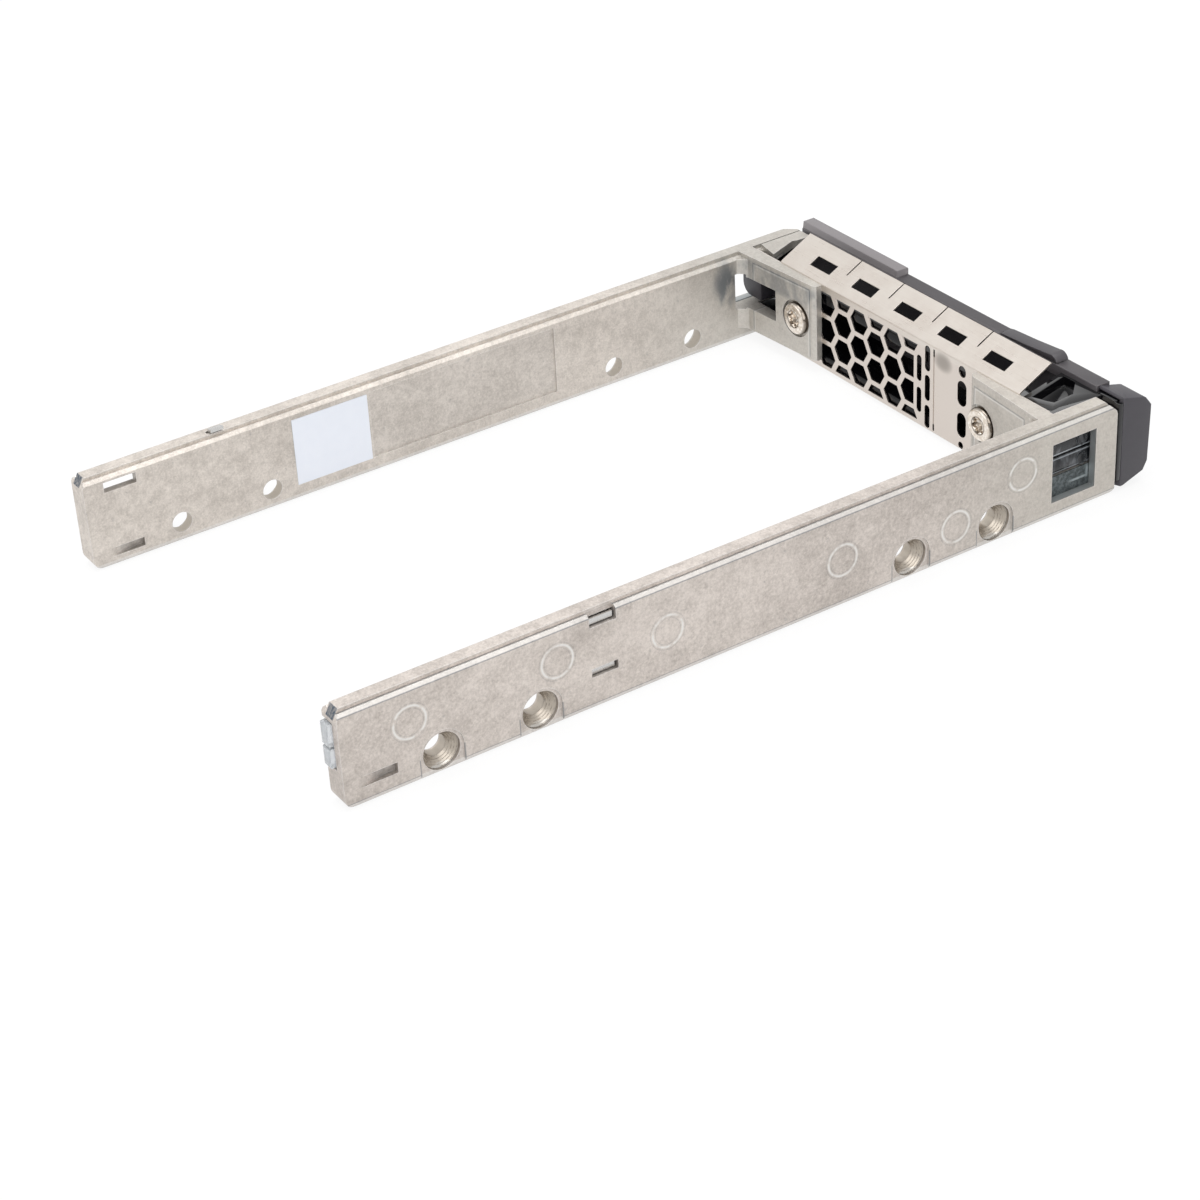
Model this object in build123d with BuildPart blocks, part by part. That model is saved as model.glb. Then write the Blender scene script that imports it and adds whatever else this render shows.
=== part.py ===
from build123d import *
import os
from math import cos, radians, sin, tan

# Hot swap drive caddy for a 2.5 inch drive. X runs across the caddy, Y along it with the bezel at -Y,
# Z is up with the rails' lower edges at zero. All lengths are in millimetres.

# Drive bay and rails
drive_width = 69.85
drive_side_gap = 0.175
rail_thickness = 3.75
rail_length = 128.8
rail_top = 15.0
ridge_outer = 0.85
ridge_inner = 2.9
shoulder_drop = 0.55
pipe_reach = 0.6
web_thickness = 1.3
channel_floor = 5.6
channel_roof = 12.8

# Drive screws in the rails
screw_line_height = 3.0
first_screw = 14.65
second_screw = 29.8
screw_pair_pitch = 76.6
screw_hole_radius = 1.6
screw_head_radius = 2.8
head_counterbore = 0.8

# Tabs that carry the shield and the bezel
tab_setback = 9.65
tab_root = 2.65
tab_tip = 1.35
tab_bevel = 0.7
left_tab_reach = 15.7
right_tab_reach = 17.25
tab_bottom = 2.0
tab_screw_spread = 22.35
tab_screw_height = 8.0
tab_screw_radius = 1.5
tab_screw_clearance = 0.09
tab_head_radius = 2.7
tab_head_height = 1.1
insert_radius = 1.95
insert_length = 5.0

# Folded shield
sheet = 0.25
strip_slope = 27.4
strip_plan = 5.86
crease_height = 15.25
strip_left = 10.15
strip_right = 67.15
finger_pitch = 10.36
hex_flat = 3.75
hex_row_pitch = 4.54
hex_column_pitch = 4.09

# Bezel
frame_bottom = 0.9
body_top = 13.3
plate_gap = 0.5
plate_thickness = 2.45
plate_top = 15.05
bezel_reach = 3.45
fairing_top = 11.6
pad_height = 1.15
pad_length = 24.0
cap_width = 5.05
side_clearance = 0.2
seat_gap = 0.2

# Handle, latch and their pivot
pin_from_rail = 2.95
pin_inset = 0.15
pin_radius = 1.0
pin_running_fit = 0.06
hub_radius = 2.9
hub_low = 5.45
hub_high = 11.25
swing_gap = 0.15
claw_low = 6.0
claw_high = 10.8
handle_length = 40.6
latch_to_handle = 0.5
latch_width = 10.2
latch_travel = 2.0
latch_gap = 0.2
nose_lap = 0.3
boss_width = 2.0
spring_space = 6.6

# Label on the right rail
label_rear = 34.1
label_length = 12.9
label_bottom = 2.25
label_height = 10.95

# Values that follow from them
bay_width = drive_width + 2 * drive_side_gap
caddy_width = bay_width + 2 * rail_thickness
right_inner = rail_thickness + bay_width
tab_front = rail_length - tab_setback
shield_front = tab_front + sheet
plate_rear = rail_length + plate_gap
plate_front = plate_rear + plate_thickness
bezel_front = plate_front + bezel_reach
rail_rear_y = (pipe_reach + bezel_front) / 2 - pipe_reach
left_screw_x = caddy_width / 2 - tab_screw_spread
right_screw_x = caddy_width / 2 + tab_screw_spread
pin_x = right_inner - pin_from_rail
pin_forward = plate_front - pin_inset
claw_window = (tab_front - 4.15, tab_front + 6.5)
handle_right = pin_x - 3.4
handle_left = handle_right - handle_length
latch_right = handle_left - latch_to_handle
latch_left = latch_right - latch_width
pocket_left = latch_left - latch_travel - latch_gap
boss_left = latch_left + 3.2
spring_seat = boss_left - spring_space
drive_screws = [first_screw, second_screw, first_screw + screw_pair_pitch, second_screw + screw_pair_pitch]


def xx(across):
    """X of a point that lies this far in from the left rail's outer face."""
    return across - caddy_width / 2


def yy(forward):
    """Y of a point that lies this far forward of the rails' rear ends."""
    return rail_rear_y - forward


def block(x_range, forward_range, z_range, mode=Mode.ADD):
    """A box between two values across, two values forward and two heights."""
    x0, x1 = x_range
    f0, f1 = forward_range
    z0, z1 = z_range
    centre = (xx((x0 + x1) / 2), yy((f0 + f1) / 2), (z0 + z1) / 2)
    with Locations(centre):
        Box(abs(x1 - x0), abs(f1 - f0), abs(z1 - z0), mode=mode)


def plan_prism(points, z0, z1, mode=Mode.ADD):
    """A prism over a plan outline given as (across, forward) pairs."""
    with BuildSketch(Plane.XY.offset(z0)) as outline:
        with BuildLine():
            Polyline(*[(xx(across), yy(forward)) for across, forward in points], close=True)
        make_face()
    extrude(outline.sketch, amount=z1 - z0, mode=mode)


def side_prism(points, x0, x1, mode=Mode.ADD):
    """A prism along X over a side outline given as (forward, height) pairs."""
    with BuildSketch(Plane.YZ.offset(xx(x0))) as outline:
        with BuildLine():
            Polyline(*[(yy(forward), height) for forward, height in points], close=True)
        make_face()
    extrude(outline.sketch, amount=x1 - x0, mode=mode)


def screw_tab(rail_face, tip, screw_x):
    """Tapered tab from a rail's inner face to its free end, with its corner web and screw seat."""
    side = 1 if tip > rail_face else -1
    ridge = rail_face - side * (rail_thickness - ridge_inner)
    root_rear = tab_front - tab_root
    plan_prism([(rail_face - side * 0.4, root_rear), (tip - side * tab_bevel, tab_front - tab_tip - 0.06),
                (tip, tab_front - tab_tip + tab_bevel / 2), (tip, tab_front), (rail_face - side * 0.4, tab_front)],
               tab_bottom, rail_top - 0.02)
    plan_prism([(ridge, root_rear), (rail_face, root_rear), (rail_face, tab_front), (ridge, tab_front)],
               channel_roof, rail_top - 0.02)
    with BuildSketch(Plane.XY.offset(tab_bottom)) as corner:
        with BuildLine():
            rail_point = (xx(rail_face - side * 0.3), yy(root_rear - 1.9))
            tab_point = (xx(rail_face + side * 2.0), yy(root_rear + 0.3))
            ThreePointArc(rail_point, (xx(rail_face + side * 0.5), yy(root_rear - 0.45)), tab_point)
            Line(tab_point, (xx(rail_face - side * 0.3), yy(root_rear + 0.3)))
            Line((xx(rail_face - side * 0.3), yy(root_rear + 0.3)), rail_point)
        make_face()
    extrude(corner.sketch, amount=rail_top - 0.8 - tab_bottom)
    seat = Plane(origin=(xx(screw_x), yy(tab_seat), tab_screw_height), z_dir=(0, 1, 0))
    with Locations(seat):
        Hole(radius=tab_screw_radius + tab_screw_clearance, depth=tab_root)
    with Locations(seat.offset(1.5)):
        Hole(radius=tab_head_radius + 0.4, depth=1.5)


# The screw heads stand on flats cut square into the tapered tabs
tab_seat = tab_front - tab_tip + 0.2

# The bar that both rails share: ridged section, trimmed ends and four screw seats
with BuildPart() as plain_rail:
    with BuildSketch(Plane.XZ.offset(-rail_rear_y)):
        with BuildLine():
            Polyline(
                (xx(0.3), 0),
                (xx(rail_thickness - 0.3), 0),
                (xx(rail_thickness), 0.55),
                (xx(rail_thickness), rail_top - 1.0),
                (xx(rail_thickness - 0.5), rail_top - shoulder_drop),
                (xx(ridge_inner), rail_top - shoulder_drop - 0.15),
                (xx(ridge_inner), rail_top),
                (xx(ridge_outer), rail_top),
                (xx(ridge_outer), rail_top - shoulder_drop - 0.15),
                (xx(0.5), rail_top - shoulder_drop),
                (xx(0), rail_top - 1.0),
                (xx(0), 0.55),
                close=True,
            )
        make_face()
    extrude(amount=rail_length)
    # Side view: chamfered rear corner and rounded bottom corners
    with BuildSketch(Plane.YZ.offset(xx(-1))) as rail_side:
        with BuildLine():
            Polyline(
                (yy(0), 0),
                (yy(0), rail_top - 1.4),
                (yy(0.9), rail_top + 0.2),
                (yy(rail_length - 0.3), rail_top + 0.2),
                (yy(rail_length), rail_top - 0.4),
                (yy(rail_length), 0),
                close=True,
            )
        make_face()
        fillet(rail_side.vertices().sort_by_distance((yy(0), 0))[0], 1.7)
        fillet(rail_side.vertices().sort_by_distance((yy(rail_length), 0))[0], 0.8)
    extrude(amount=rail_thickness + 2, mode=Mode.INTERSECT)
    # Shallow relief around each screw seat, open to the lower edge
    with BuildSketch(Plane.YZ.offset(xx(0))):
        for forward in drive_screws:
            with Locations((yy(forward), screw_line_height)):
                Circle(screw_head_radius + 0.5)
            with Locations((yy(forward), screw_line_height / 2 - 0.3)):
                Rectangle(2 * screw_head_radius + 1, screw_line_height + 0.6)
    extrude(amount=0.25, mode=Mode.SUBTRACT)
    # Flat counterbore, then a countersink down to the clearance hole
    for forward in drive_screws:
        outer_face = Plane(origin=(xx(0), yy(forward), screw_line_height), x_dir=(0, 1, 0), z_dir=(-1, 0, 0))
        with Locations(outer_face):
            Hole(radius=screw_head_radius, depth=head_counterbore)
        with Locations(outer_face.offset(-head_counterbore)):
            CounterSinkHole(
                radius=screw_hole_radius,
                counter_sink_radius=screw_head_radius,
                depth=rail_thickness,
                counter_sink_angle=90,
            )

# Left rail: channel for the light pipes, open toward the drive
pipe_window = (tab_front - 2.35, tab_front + 5.75)
clip_place = (37.9, 42.1)
clip_gap = 0.3
with BuildPart() as left_rail:
    add(plain_rail.part)
    block((web_thickness, rail_thickness + 1), (-1, rail_length + 1), (channel_floor, channel_roof), Mode.SUBTRACT)
    screw_tab(rail_thickness, rail_thickness + left_tab_reach, left_screw_x)
    block((web_thickness, rail_thickness + 0.02), (0, rail_length), (channel_floor, channel_roof), Mode.SUBTRACT)
    # Chamfer on the upper front corner
    side_prism([(rail_length - 2.1, rail_top + 0.4), (rail_length - 0.2, rail_top - 1.5),
                (rail_length, rail_top - 2.1), (rail_length + 1, rail_top - 2.1), (rail_length + 1, rail_top + 0.4)],
               -1, rail_thickness + 1, Mode.SUBTRACT)
    # Window over the pipes' front ends
    block((-1, web_thickness + 0.1), pipe_window, (2.4, 11.9), Mode.SUBTRACT)
    # Ramp pocket near the rear end, deepest toward the front
    plan_prism([(-0.1, 2.5), (0, 2.5), (0.9, 6.5), (0.9, 8.0), (-0.1, 8.0)], 2.6, 4.2, Mode.SUBTRACT)
    # Notch and slot for the clip's two tongues
    block((-1, 0.95), clip_place, (12.5, 14.6), Mode.SUBTRACT)
    block((-1, rail_thickness + 1), clip_place, (12.5, 13.75), Mode.SUBTRACT)
    block((-1, rail_thickness + 1), clip_place, (4.8, 6.1), Mode.SUBTRACT)

# Right rail: the same bar mirrored, channel open outward, with the claw's window in its front corner
spring_place = (21.2, 23.6)
with BuildPart() as right_rail:
    add(mirror(plain_rail.part, about=Plane.YZ))
    block((right_inner + web_thickness, caddy_width + 1), (2.0, rail_length + 1), (channel_floor, channel_roof),
          Mode.SUBTRACT)
    for forward in (rail_length * 0.172, rail_length * 0.466, rail_length * 0.761):
        block((right_inner + 1, caddy_width - 0.6), (forward - 0.5, forward + 0.5), (channel_floor - 0.1, 6.6))
    screw_tab(right_inner, right_inner - right_tab_reach, right_screw_x)
    # Gusset plate between the rail's ridge and the bezel, set off from the ridge by a fine groove
    plan_prism([(right_inner - 3.6, tab_front + 0.95), (right_inner + 0.85, tab_front + 1.7),
                (right_inner + 0.85, rail_length - 0.2), (right_inner - 1.95, rail_length - 0.2),
                (right_inner - 1.95, rail_length - 2.6), (right_inner - 1.55, rail_length - 3.4)],
               body_top + 0.3, rail_top - 0.02)
    block((right_inner + 0.6, right_inner + 0.85), (tab_front + 0.9, rail_length), (rail_top - 0.4, rail_top + 1),
          Mode.SUBTRACT)
    block((right_inner - 3.6, right_inner + 0.75), (tab_front + 0.3, tab_front + 0.85), (rail_top - 1.3, rail_top + 1),
          Mode.SUBTRACT)
    # Window for the claw: through the tab and through the rail
    block((right_inner - 7.95, right_inner + 0.3), (tab_front - tab_root - 1, tab_front + 1),
          (claw_low - 0.3, claw_high + 0.3), Mode.SUBTRACT)
    block((right_inner - 1, caddy_width + 1), claw_window, (claw_low - 0.6, claw_high + 0.8), Mode.SUBTRACT)
    # Bevel on the outer front corner
    plan_prism([(caddy_width + 1, rail_length - 4.1), (caddy_width, rail_length - 2.9),
                (caddy_width - 2.6, rail_length), (caddy_width - 2.6, rail_length + 1),
                (caddy_width + 1, rail_length + 1)], -1, rail_top + 2, Mode.SUBTRACT)
    # Slot and ramp pocket at the rear end
    block((right_inner - 1, caddy_width + 1), (3.3, 8.5), (12.0, 13.65), Mode.SUBTRACT)
    plan_prism([(right_inner - 0.1, 3.0), (right_inner, 3.0), (right_inner + 0.9, 7.0), (right_inner + 0.9, 8.4),
                (right_inner - 0.1, 8.4)], 1.4, 2.8, Mode.SUBTRACT)
    # Recessed panel on the inner face
    panel_rear = label_rear + label_length + 0.4
    block((right_inner - 1, right_inner + 0.25), (panel_rear, panel_rear + 33.1), (2.3, 13.3), Mode.SUBTRACT)
    # Slot that lets the leaf spring's hook up over the ridge
    block((right_inner + web_thickness + 0.05, right_inner + web_thickness + 0.75),
          (spring_place[0] - 0.2, spring_place[1] + 0.2), (channel_roof - 0.1, rail_top + 1), Mode.SUBTRACT)

# Shield: one folded sheet with a wall, a sloping strip and a bottom flange
slope_rise = strip_plan * tan(radians(strip_slope))
first_column = 55.48
honeycomb_left = 33.1
honeycomb_right = 58.25
last_window = strip_left + 7.75
with BuildPart() as emi_shield:
    with BuildSketch(Plane.YZ.offset(xx(rail_thickness + 0.1))):
        with BuildLine():
            FilletPolyline(
                (yy(tab_front + 4.4), 0.3),
                (yy(tab_front), 0.3),
                (yy(tab_front), crease_height),
                (yy(tab_front + strip_plan), crease_height + slope_rise),
                radius=0.5,
            )
            offset(amount=sheet, side=Side.LEFT)
        make_face()
    extrude(amount=bay_width - 0.2)
    # The strip stops short of the rails, the flange of the lever
    for edge_from, edge_to in ((0, strip_left), (strip_right, caddy_width)):
        block((edge_from, edge_to), (tab_front - 2, tab_front + 9), (14.9, 20), Mode.SUBTRACT)
        block((edge_from, edge_to), (shield_front, tab_front + 9), (-1, 1.2), Mode.SUBTRACT)
    # Honeycomb: six columns of flat-topped cells, cut off by a rectangle
    with BuildSketch(Plane.XZ.offset(-yy(tab_front - 0.5))):
        for column in range(6):
            shift = (column % 2) * hex_row_pitch / 2
            for row in range(-1, 5):
                with Locations((xx(first_column - column * hex_column_pitch), 3.1 - shift + row * hex_row_pitch)):
                    RegularPolygon(radius=hex_flat / 2, side_count=6, major_radius=False, rotation=0)
        with Locations((xx((honeycomb_left + honeycomb_right) / 2), 7.63)):
            Rectangle(honeycomb_right - honeycomb_left, 12.74, mode=Mode.INTERSECT)
        # The whole cells of the last column stop at an upright line, the half cells above and below run out
        with Locations((xx(honeycomb_left + 0.45), 7.63)):
            Rectangle(0.95, 9.4, mode=Mode.SUBTRACT)
    extrude(amount=sheet + 1, mode=Mode.SUBTRACT)
    # Upright slots and ovals between the honeycomb and the plain band
    with BuildSketch(Plane.XZ.offset(-yy(tab_front - 0.5))):
        for across, width, low, high in (
            (32.75, 1.1, 8.05, 12.4),
            (32.75, 1.1, 2.75, 6.95),
            (30.8, 1.2, 10.45, 14.7),
            (30.8, 1.2, 5.45, 9.75),
            (30.8, 1.2, 0.8, 4.65),
            (22.8, 1.6, 12.65, 14.5),
            (22.8, 2.05, 7.85, 12.0),
            (22.8, 2.05, 2.6, 6.65),
            (22.9, 1.1, 0.6, 1.75),
        ):
            with Locations((xx(across), (low + high) / 2)):
                if high - low > width:
                    SlotOverall(high - low, width, rotation=90)
                else:
                    Circle((high - low) / 2)
        for low, high in ((13.3, 14.65), (0.9, 2.0)):
            with Locations((xx(29.3), (low + high) / 2)):
                Rectangle(0.35, high - low)
    extrude(amount=sheet + 1, mode=Mode.SUBTRACT)
    # Seam scored into the wall's rear face between the honeycomb side and the band
    block((29.18, 29.42), (tab_front - 1, tab_front + sheet * 0.4), (2.0, 13.3), Mode.SUBTRACT)
    # Clearance for the tab screws and for the claw
    for screw_x in (left_screw_x, right_screw_x):
        with Locations(Plane(origin=(xx(screw_x), yy(tab_front), tab_screw_height), z_dir=(0, 1, 0))):
            Hole(radius=tab_screw_radius + 0.2, depth=2)
    block((right_inner - 8.15, right_inner + 1), (tab_front - 1, tab_front + 1), (claw_low - 0.6, claw_high + 0.6),
          Mode.SUBTRACT)
    # Finger windows and slits, laid out on the sloping strip
    strip_plane = Plane(
        origin=(0, yy(tab_front), crease_height),
        x_dir=(1, 0, 0),
        z_dir=(0, sin(radians(strip_slope)), cos(radians(strip_slope))),
    )
    strip_length = strip_plan / cos(radians(strip_slope))
    with BuildSketch(strip_plane.offset(0.5)):
        for finger in range(5):
            with Locations((xx(last_window + finger * finger_pitch), -2.86)):
                Rectangle(4.95, 2.0)
        for finger in range(4):
            with Locations((xx(last_window + 5.05 + finger * finger_pitch), -strip_length + 1.3)):
                Rectangle(0.28, 4.1)
    extrude(amount=-sheet - 1, mode=Mode.SUBTRACT)

# Bezel frame: glossy moulding behind the shield, with the inserts' pockets and the light carrier
body_left = rail_thickness + side_clearance
body_right = right_inner - side_clearance
body_rear = shield_front + seat_gap
passage_left = 22.0
passage_right = 57.5
pipe_heights = {"upper": (9.1, 12.5), "lower": (5.85, 8.8)}
light_heights = (7.3, 10.9)
with BuildPart() as bezel_frame:
    block((body_left, body_right), (body_rear, plate_rear), (frame_bottom, body_top))
    plan_prism([(body_left, body_rear + 0.15), (10.4, body_rear + 0.15), (12.7, plate_rear), (body_left, plate_rear)],
               body_top - 0.1, body_top + 0.9)
    block((1.0, cap_width - 0.2), (plate_rear - 0.25, plate_front - 0.75), (1.6, 14.4))
    # Black fillet between the rail's front end and the cap
    plan_prism([(0.3, plate_rear - 0.25), (1.7, plate_rear - 0.25), (1.7, plate_rear - 0.1), (1.35, plate_rear + 0.03),
                (0.05, plate_rear + 0.58), (0.05, plate_rear - 0.1)], 1.6, 14.2)
    # Faceted recess in the raised corner beside the left rail
    plan_prism([(9.7, tab_front + 1.95), (6.5, tab_front + 3.45), (6.7, tab_front + 7.05), (9.2, plate_rear - 0.4),
                (11.6, plate_rear - 0.4)], body_top - 0.6, body_top + 2, Mode.SUBTRACT)
    # Air passage behind the honeycomb
    block((passage_left, passage_right), (body_rear - 1, plate_rear + 1), (2.5, 11.6), Mode.SUBTRACT)
    # Cavity for the latch's spring, and room for the claw's swing
    block((spring_seat, boss_left + boss_width + latch_gap), (plate_rear - 2.6, plate_rear + 1), (7.0, 11.0),
          Mode.SUBTRACT)
    block((right_inner - 10.05, body_right + 1), (body_rear - 1, plate_rear + 1),
          (hub_low - swing_gap, hub_high + swing_gap), Mode.SUBTRACT)
    # Pockets for the two threaded inserts
    for screw_x in (left_screw_x, right_screw_x):
        with Locations(Plane(origin=(xx(screw_x), yy(body_rear), tab_screw_height), z_dir=(0, 1, 0))):
            Hole(radius=insert_radius + 0.05, depth=insert_length + 0.3)
    for height in light_heights:
        with Locations(Plane(origin=(xx(2.5), yy(plate_rear - 0.3), height), z_dir=(0, 1, 0))):
            Hole(radius=0.8, depth=3)

# Bezel plate: satin front moulding with the pad on top, the latch's pocket and the hinge lugs
fairing_front = bezel_front - 0.8
plate_left = cap_width + 0.05
plate_right = right_inner + 1.05
latch_rear = plate_rear + 0.8
latch_face = plate_front - 0.15
with BuildPart() as bezel_plate:
    block((plate_left, plate_right), (plate_rear, plate_front), (frame_bottom, plate_top))
    # Fairing left of the latch and the ledge under it
    block((plate_left + 0.05, pocket_left), (plate_front - 0.1, fairing_front), (frame_bottom, fairing_top))
    block((plate_left + 0.05, latch_right + 0.3), (plate_front - 0.1, fairing_front), (frame_bottom, 3.6))
    # Raised pad on the far half of the top edge
    pad_top = plate_top + pad_height
    side_prism([(plate_front, plate_top - 0.2), (plate_front, pad_top - 0.2), (plate_front - 0.15, pad_top),
                (plate_rear + 0.3, pad_top), (plate_rear + 0.1, plate_top - 0.2)], plate_right - pad_length, plate_right)
    # Air slots in front of the passage
    for bar in range(4):
        left = 29.4 + bar * 7.2
        block((left, left + 5.8), (plate_rear - 0.5, plate_front + 0.5), (3.4, 11.0), Mode.SUBTRACT)
    # Pocket for the latch, open at the front and at the top, with a slot for its boss
    block((pocket_left, latch_right + latch_gap), (latch_rear - latch_gap, plate_front + 0.5), (3.6, plate_top + 1),
          Mode.SUBTRACT)
    block((spring_seat, boss_left + boss_width + latch_gap), (plate_rear - 1, latch_rear), (7.0, 11.0), Mode.SUBTRACT)
    # Room for the hub, with lugs above and below it
    block((pin_x - 4.7, plate_right + 1), (plate_rear - 0.5, plate_front + 0.5),
          (hub_low - swing_gap, hub_high + swing_gap), Mode.SUBTRACT)
    for low, high in ((frame_bottom, hub_low - swing_gap), (hub_high + swing_gap, body_top + 0.5)):
        with BuildSketch(Plane.XY.offset(low)):
            with Locations((xx(pin_x), yy(pin_forward))):
                Circle(2.6)
        extrude(amount=high - low)
    with Locations((xx(pin_x), yy(pin_forward), 0)):
        Cylinder(radius=pin_radius + 0.03, height=body_top + 0.3, align=(Align.CENTER, Align.CENTER, Align.MIN),
                 mode=Mode.SUBTRACT)
    block((plate_left - 1, plate_right + 3), (body_rear, plate_rear), (0, 17), Mode.SUBTRACT)

# Handle with hub and claw
handle_rear = plate_front + 0.3
handle_low = 2.4
handle_high = 12.0
tooth_low = 6.3
tooth_high = 9.7
tooth_tip = handle_left + 1.4
with BuildPart() as lever_handle:
    side_prism([(handle_rear, handle_low), (bezel_front - 0.6, handle_low), (bezel_front, handle_low + 0.6),
                (bezel_front, handle_high - 1.3), (bezel_front - 1.0, handle_high), (handle_rear, handle_high)],
               handle_left, handle_right)
    # Dished front and honeycomb openings
    block((handle_left + 5.6, handle_right - 3.6), (bezel_front - 0.4, bezel_front + 1),
          (handle_low + 0.8, handle_high - 1.8), Mode.SUBTRACT)
    with BuildSketch(Plane.XZ.offset(-yy(plate_front - 0.7))):
        grid_centre = (xx((handle_left + handle_right) / 2 + 1), (handle_low + handle_high) / 2 - 0.5)
        with Locations(grid_centre):
            with HexLocations(radius=2.1, x_count=8, y_count=3, major_radius=True):
                RegularPolygon(radius=1.5, side_count=6, major_radius=False)
        with Locations(grid_centre):
            Rectangle(28.6, 6.4, mode=Mode.INTERSECT)
    extrude(amount=5, mode=Mode.SUBTRACT)
    # Pocket that the latch's tooth enters
    block((handle_left - 1, tooth_tip + 0.6), (handle_rear + 0.85, handle_rear + 1.85),
          (tooth_low - 0.3, tooth_high + 0.3), Mode.SUBTRACT)
    # Neck and hub
    block((handle_right - 1, pin_x), (handle_rear, pin_forward + hub_radius), (hub_low, hub_high))
    with BuildSketch(Plane.XY.offset(hub_low)):
        with Locations((xx(pin_x), yy(pin_forward))):
            Circle(hub_radius)
    extrude(amount=hub_high - hub_low)
    # Claw that reaches back through the rail's window
    claw_rear = tab_front + 0.1
    plan_prism([(pin_x - 1.8, pin_forward - 1.4), (pin_x - 0.4, pin_forward - 7.0), (pin_x + 1.9, claw_rear + 2.4),
                (pin_x + 1.9, claw_rear), (right_inner + 3.65, claw_rear), (right_inner + 3.65, claw_rear + 3.0),
                (pin_x + 2.6, claw_rear + 5.6), (pin_x + 2.4, pin_forward - 1.6)], claw_low, claw_high)
    claw_edge = lever_handle.edges().filter_by(Axis.Y).group_by(Axis.X)[-1].sort_by(Axis.Z)
    fillet(claw_edge[0], 2.0)
    with Locations((xx(pin_x), yy(pin_forward), hub_high)):
        Hole(radius=pin_radius + pin_running_fit, depth=12)
    with Locations((xx(pin_x), yy(pin_forward), hub_high)):
        Hole(radius=2.35, depth=1.65)

with BuildPart() as lever_pin:
    with Locations((xx(pin_x), yy(pin_forward), (frame_bottom + 0.3 + body_top + 0.1) / 2)):
        Cylinder(radius=pin_radius, height=body_top - frame_bottom - 0.2)
    chamfer(lever_pin.edges().group_by(Axis.Z)[0], 0.25)

wire = 0.3
with BuildPart() as lever_spring:
    with BuildLine() as lever_coil:
        Helix(pitch=0.45, height=1.0, radius=1.7, center=(xx(pin_x), yy(pin_forward), hub_high - 1.4))
    with BuildSketch(Plane(origin=lever_coil.wire() @ 0, z_dir=lever_coil.wire() % 0)):
        Rectangle(wire, wire)
    sweep(is_frenet=True)

# Release latch: slider with the finger button, the tooth and the spring's boss, and the ramp on top of it
with BuildPart() as release_latch:
    block((latch_left, latch_right), (latch_rear, latch_face), (4.0, plate_top + 0.16))
    with BuildSketch(Plane.XZ.offset(-yy(plate_rear + 0.05))) as ramp:
        with BuildLine():
            ramp_foot = (xx(latch_right - 0.7), plate_top + 0.3)
            ramp_top = (xx(latch_left - 0.7), plate_top + 1.05)
            ramp_nose = (xx(pocket_left - nose_lap), plate_top + 0.15)
            Polyline(ramp_nose, (xx(latch_right), plate_top + 0.15), ramp_foot)
            ThreePointArc(ramp_foot, (xx(latch_left + 4.2), plate_top + 0.62), ramp_top)
            ThreePointArc(ramp_top, (xx(pocket_left + 0.2), plate_top + 0.85), ramp_nose)
        make_face()
    extrude(ramp.sketch, amount=latch_face - plate_rear - 0.05)
    block((latch_left, latch_right), (latch_face - 0.1, fairing_front), (4.0, fairing_top - 0.2))
    for rib in range(4):
        left = latch_left + 1.3 + rib * 2.1
        block((left, left + 1.1), (fairing_front - 0.5, fairing_front + 1), (4.8, 10.6), Mode.SUBTRACT)
    block((latch_right - 0.1, tooth_tip), (handle_rear + 1.05, handle_rear + 1.65), (tooth_low, tooth_high))
    block((boss_left, boss_left + boss_width), (plate_rear - 2.2, latch_rear + 0.1), (7.4, 10.6))

with BuildPart() as latch_spring:
    spring_start = spring_seat + wire / 2 + 0.15
    with BuildLine() as latch_coil:
        Helix(pitch=1.2, height=boss_left - spring_start - wire / 2 - 0.15, radius=1.15,
              center=(xx(spring_start), yy(plate_rear - 0.95), 9.0), direction=(1, 0, 0))
    with BuildSketch(Plane(origin=latch_coil.wire() @ 0, z_dir=latch_coil.wire() % 0)):
        Rectangle(wire, wire)
    sweep(is_frenet=True)

# End cap over the lights
cap_bottom = frame_bottom - 0.4
with BuildPart() as led_end_cap:
    with BuildSketch(Plane.YZ.offset(xx(0))) as cap_side:
        with BuildLine():
            Polyline(
                (yy(plate_rear + 0.1), cap_bottom),
                (yy(plate_rear + 0.35), plate_top - 0.3),
                (yy(plate_rear + 0.6), plate_top - 0.02),
                (yy(bezel_front - 1.2), plate_top - 1.15),
                (yy(bezel_front), plate_top - 2.75),
                (yy(bezel_front), plate_top - 3.75),
                (yy(bezel_front - 0.25), 3.15),
                (yy(bezel_front - 1.0), 1.75),
                (yy(bezel_front - 4.8), cap_bottom),
                close=True,
            )
        make_face()
        fillet(cap_side.vertices().sort_by_distance((yy(bezel_front - 1.2), plate_top - 1.15))[0], 1.0)
    extrude(amount=cap_width)
    # Rear corner chamfered in plan
    plan_prism([(-1, plate_rear - 1), (1.4, plate_rear - 1), (1.4, plate_rear + 0.05), (0, plate_rear + 0.65),
                (-1, plate_rear + 0.65)], 0, plate_top + 1, Mode.SUBTRACT)
    # Seat over the frame's light carrier
    block((0.7, cap_width + 1), (plate_rear - 1, plate_front - 0.65), (1.3, 14.6), Mode.SUBTRACT)
    for height in light_heights:
        with Locations(Plane(origin=(xx(2.5), yy(plate_front - 1), height), z_dir=(0, 1, 0))):
            Hole(radius=0.8, depth=6)
        block((1.2, 3.8), (bezel_front - 0.5, bezel_front + 1), (height - 1.2, height + 1.2), Mode.SUBTRACT)

# Light pipes: square-edged rods that neck down inside the holder
holder_rear = tab_front - 3.25
holder_face = web_thickness + 0.35


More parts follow.
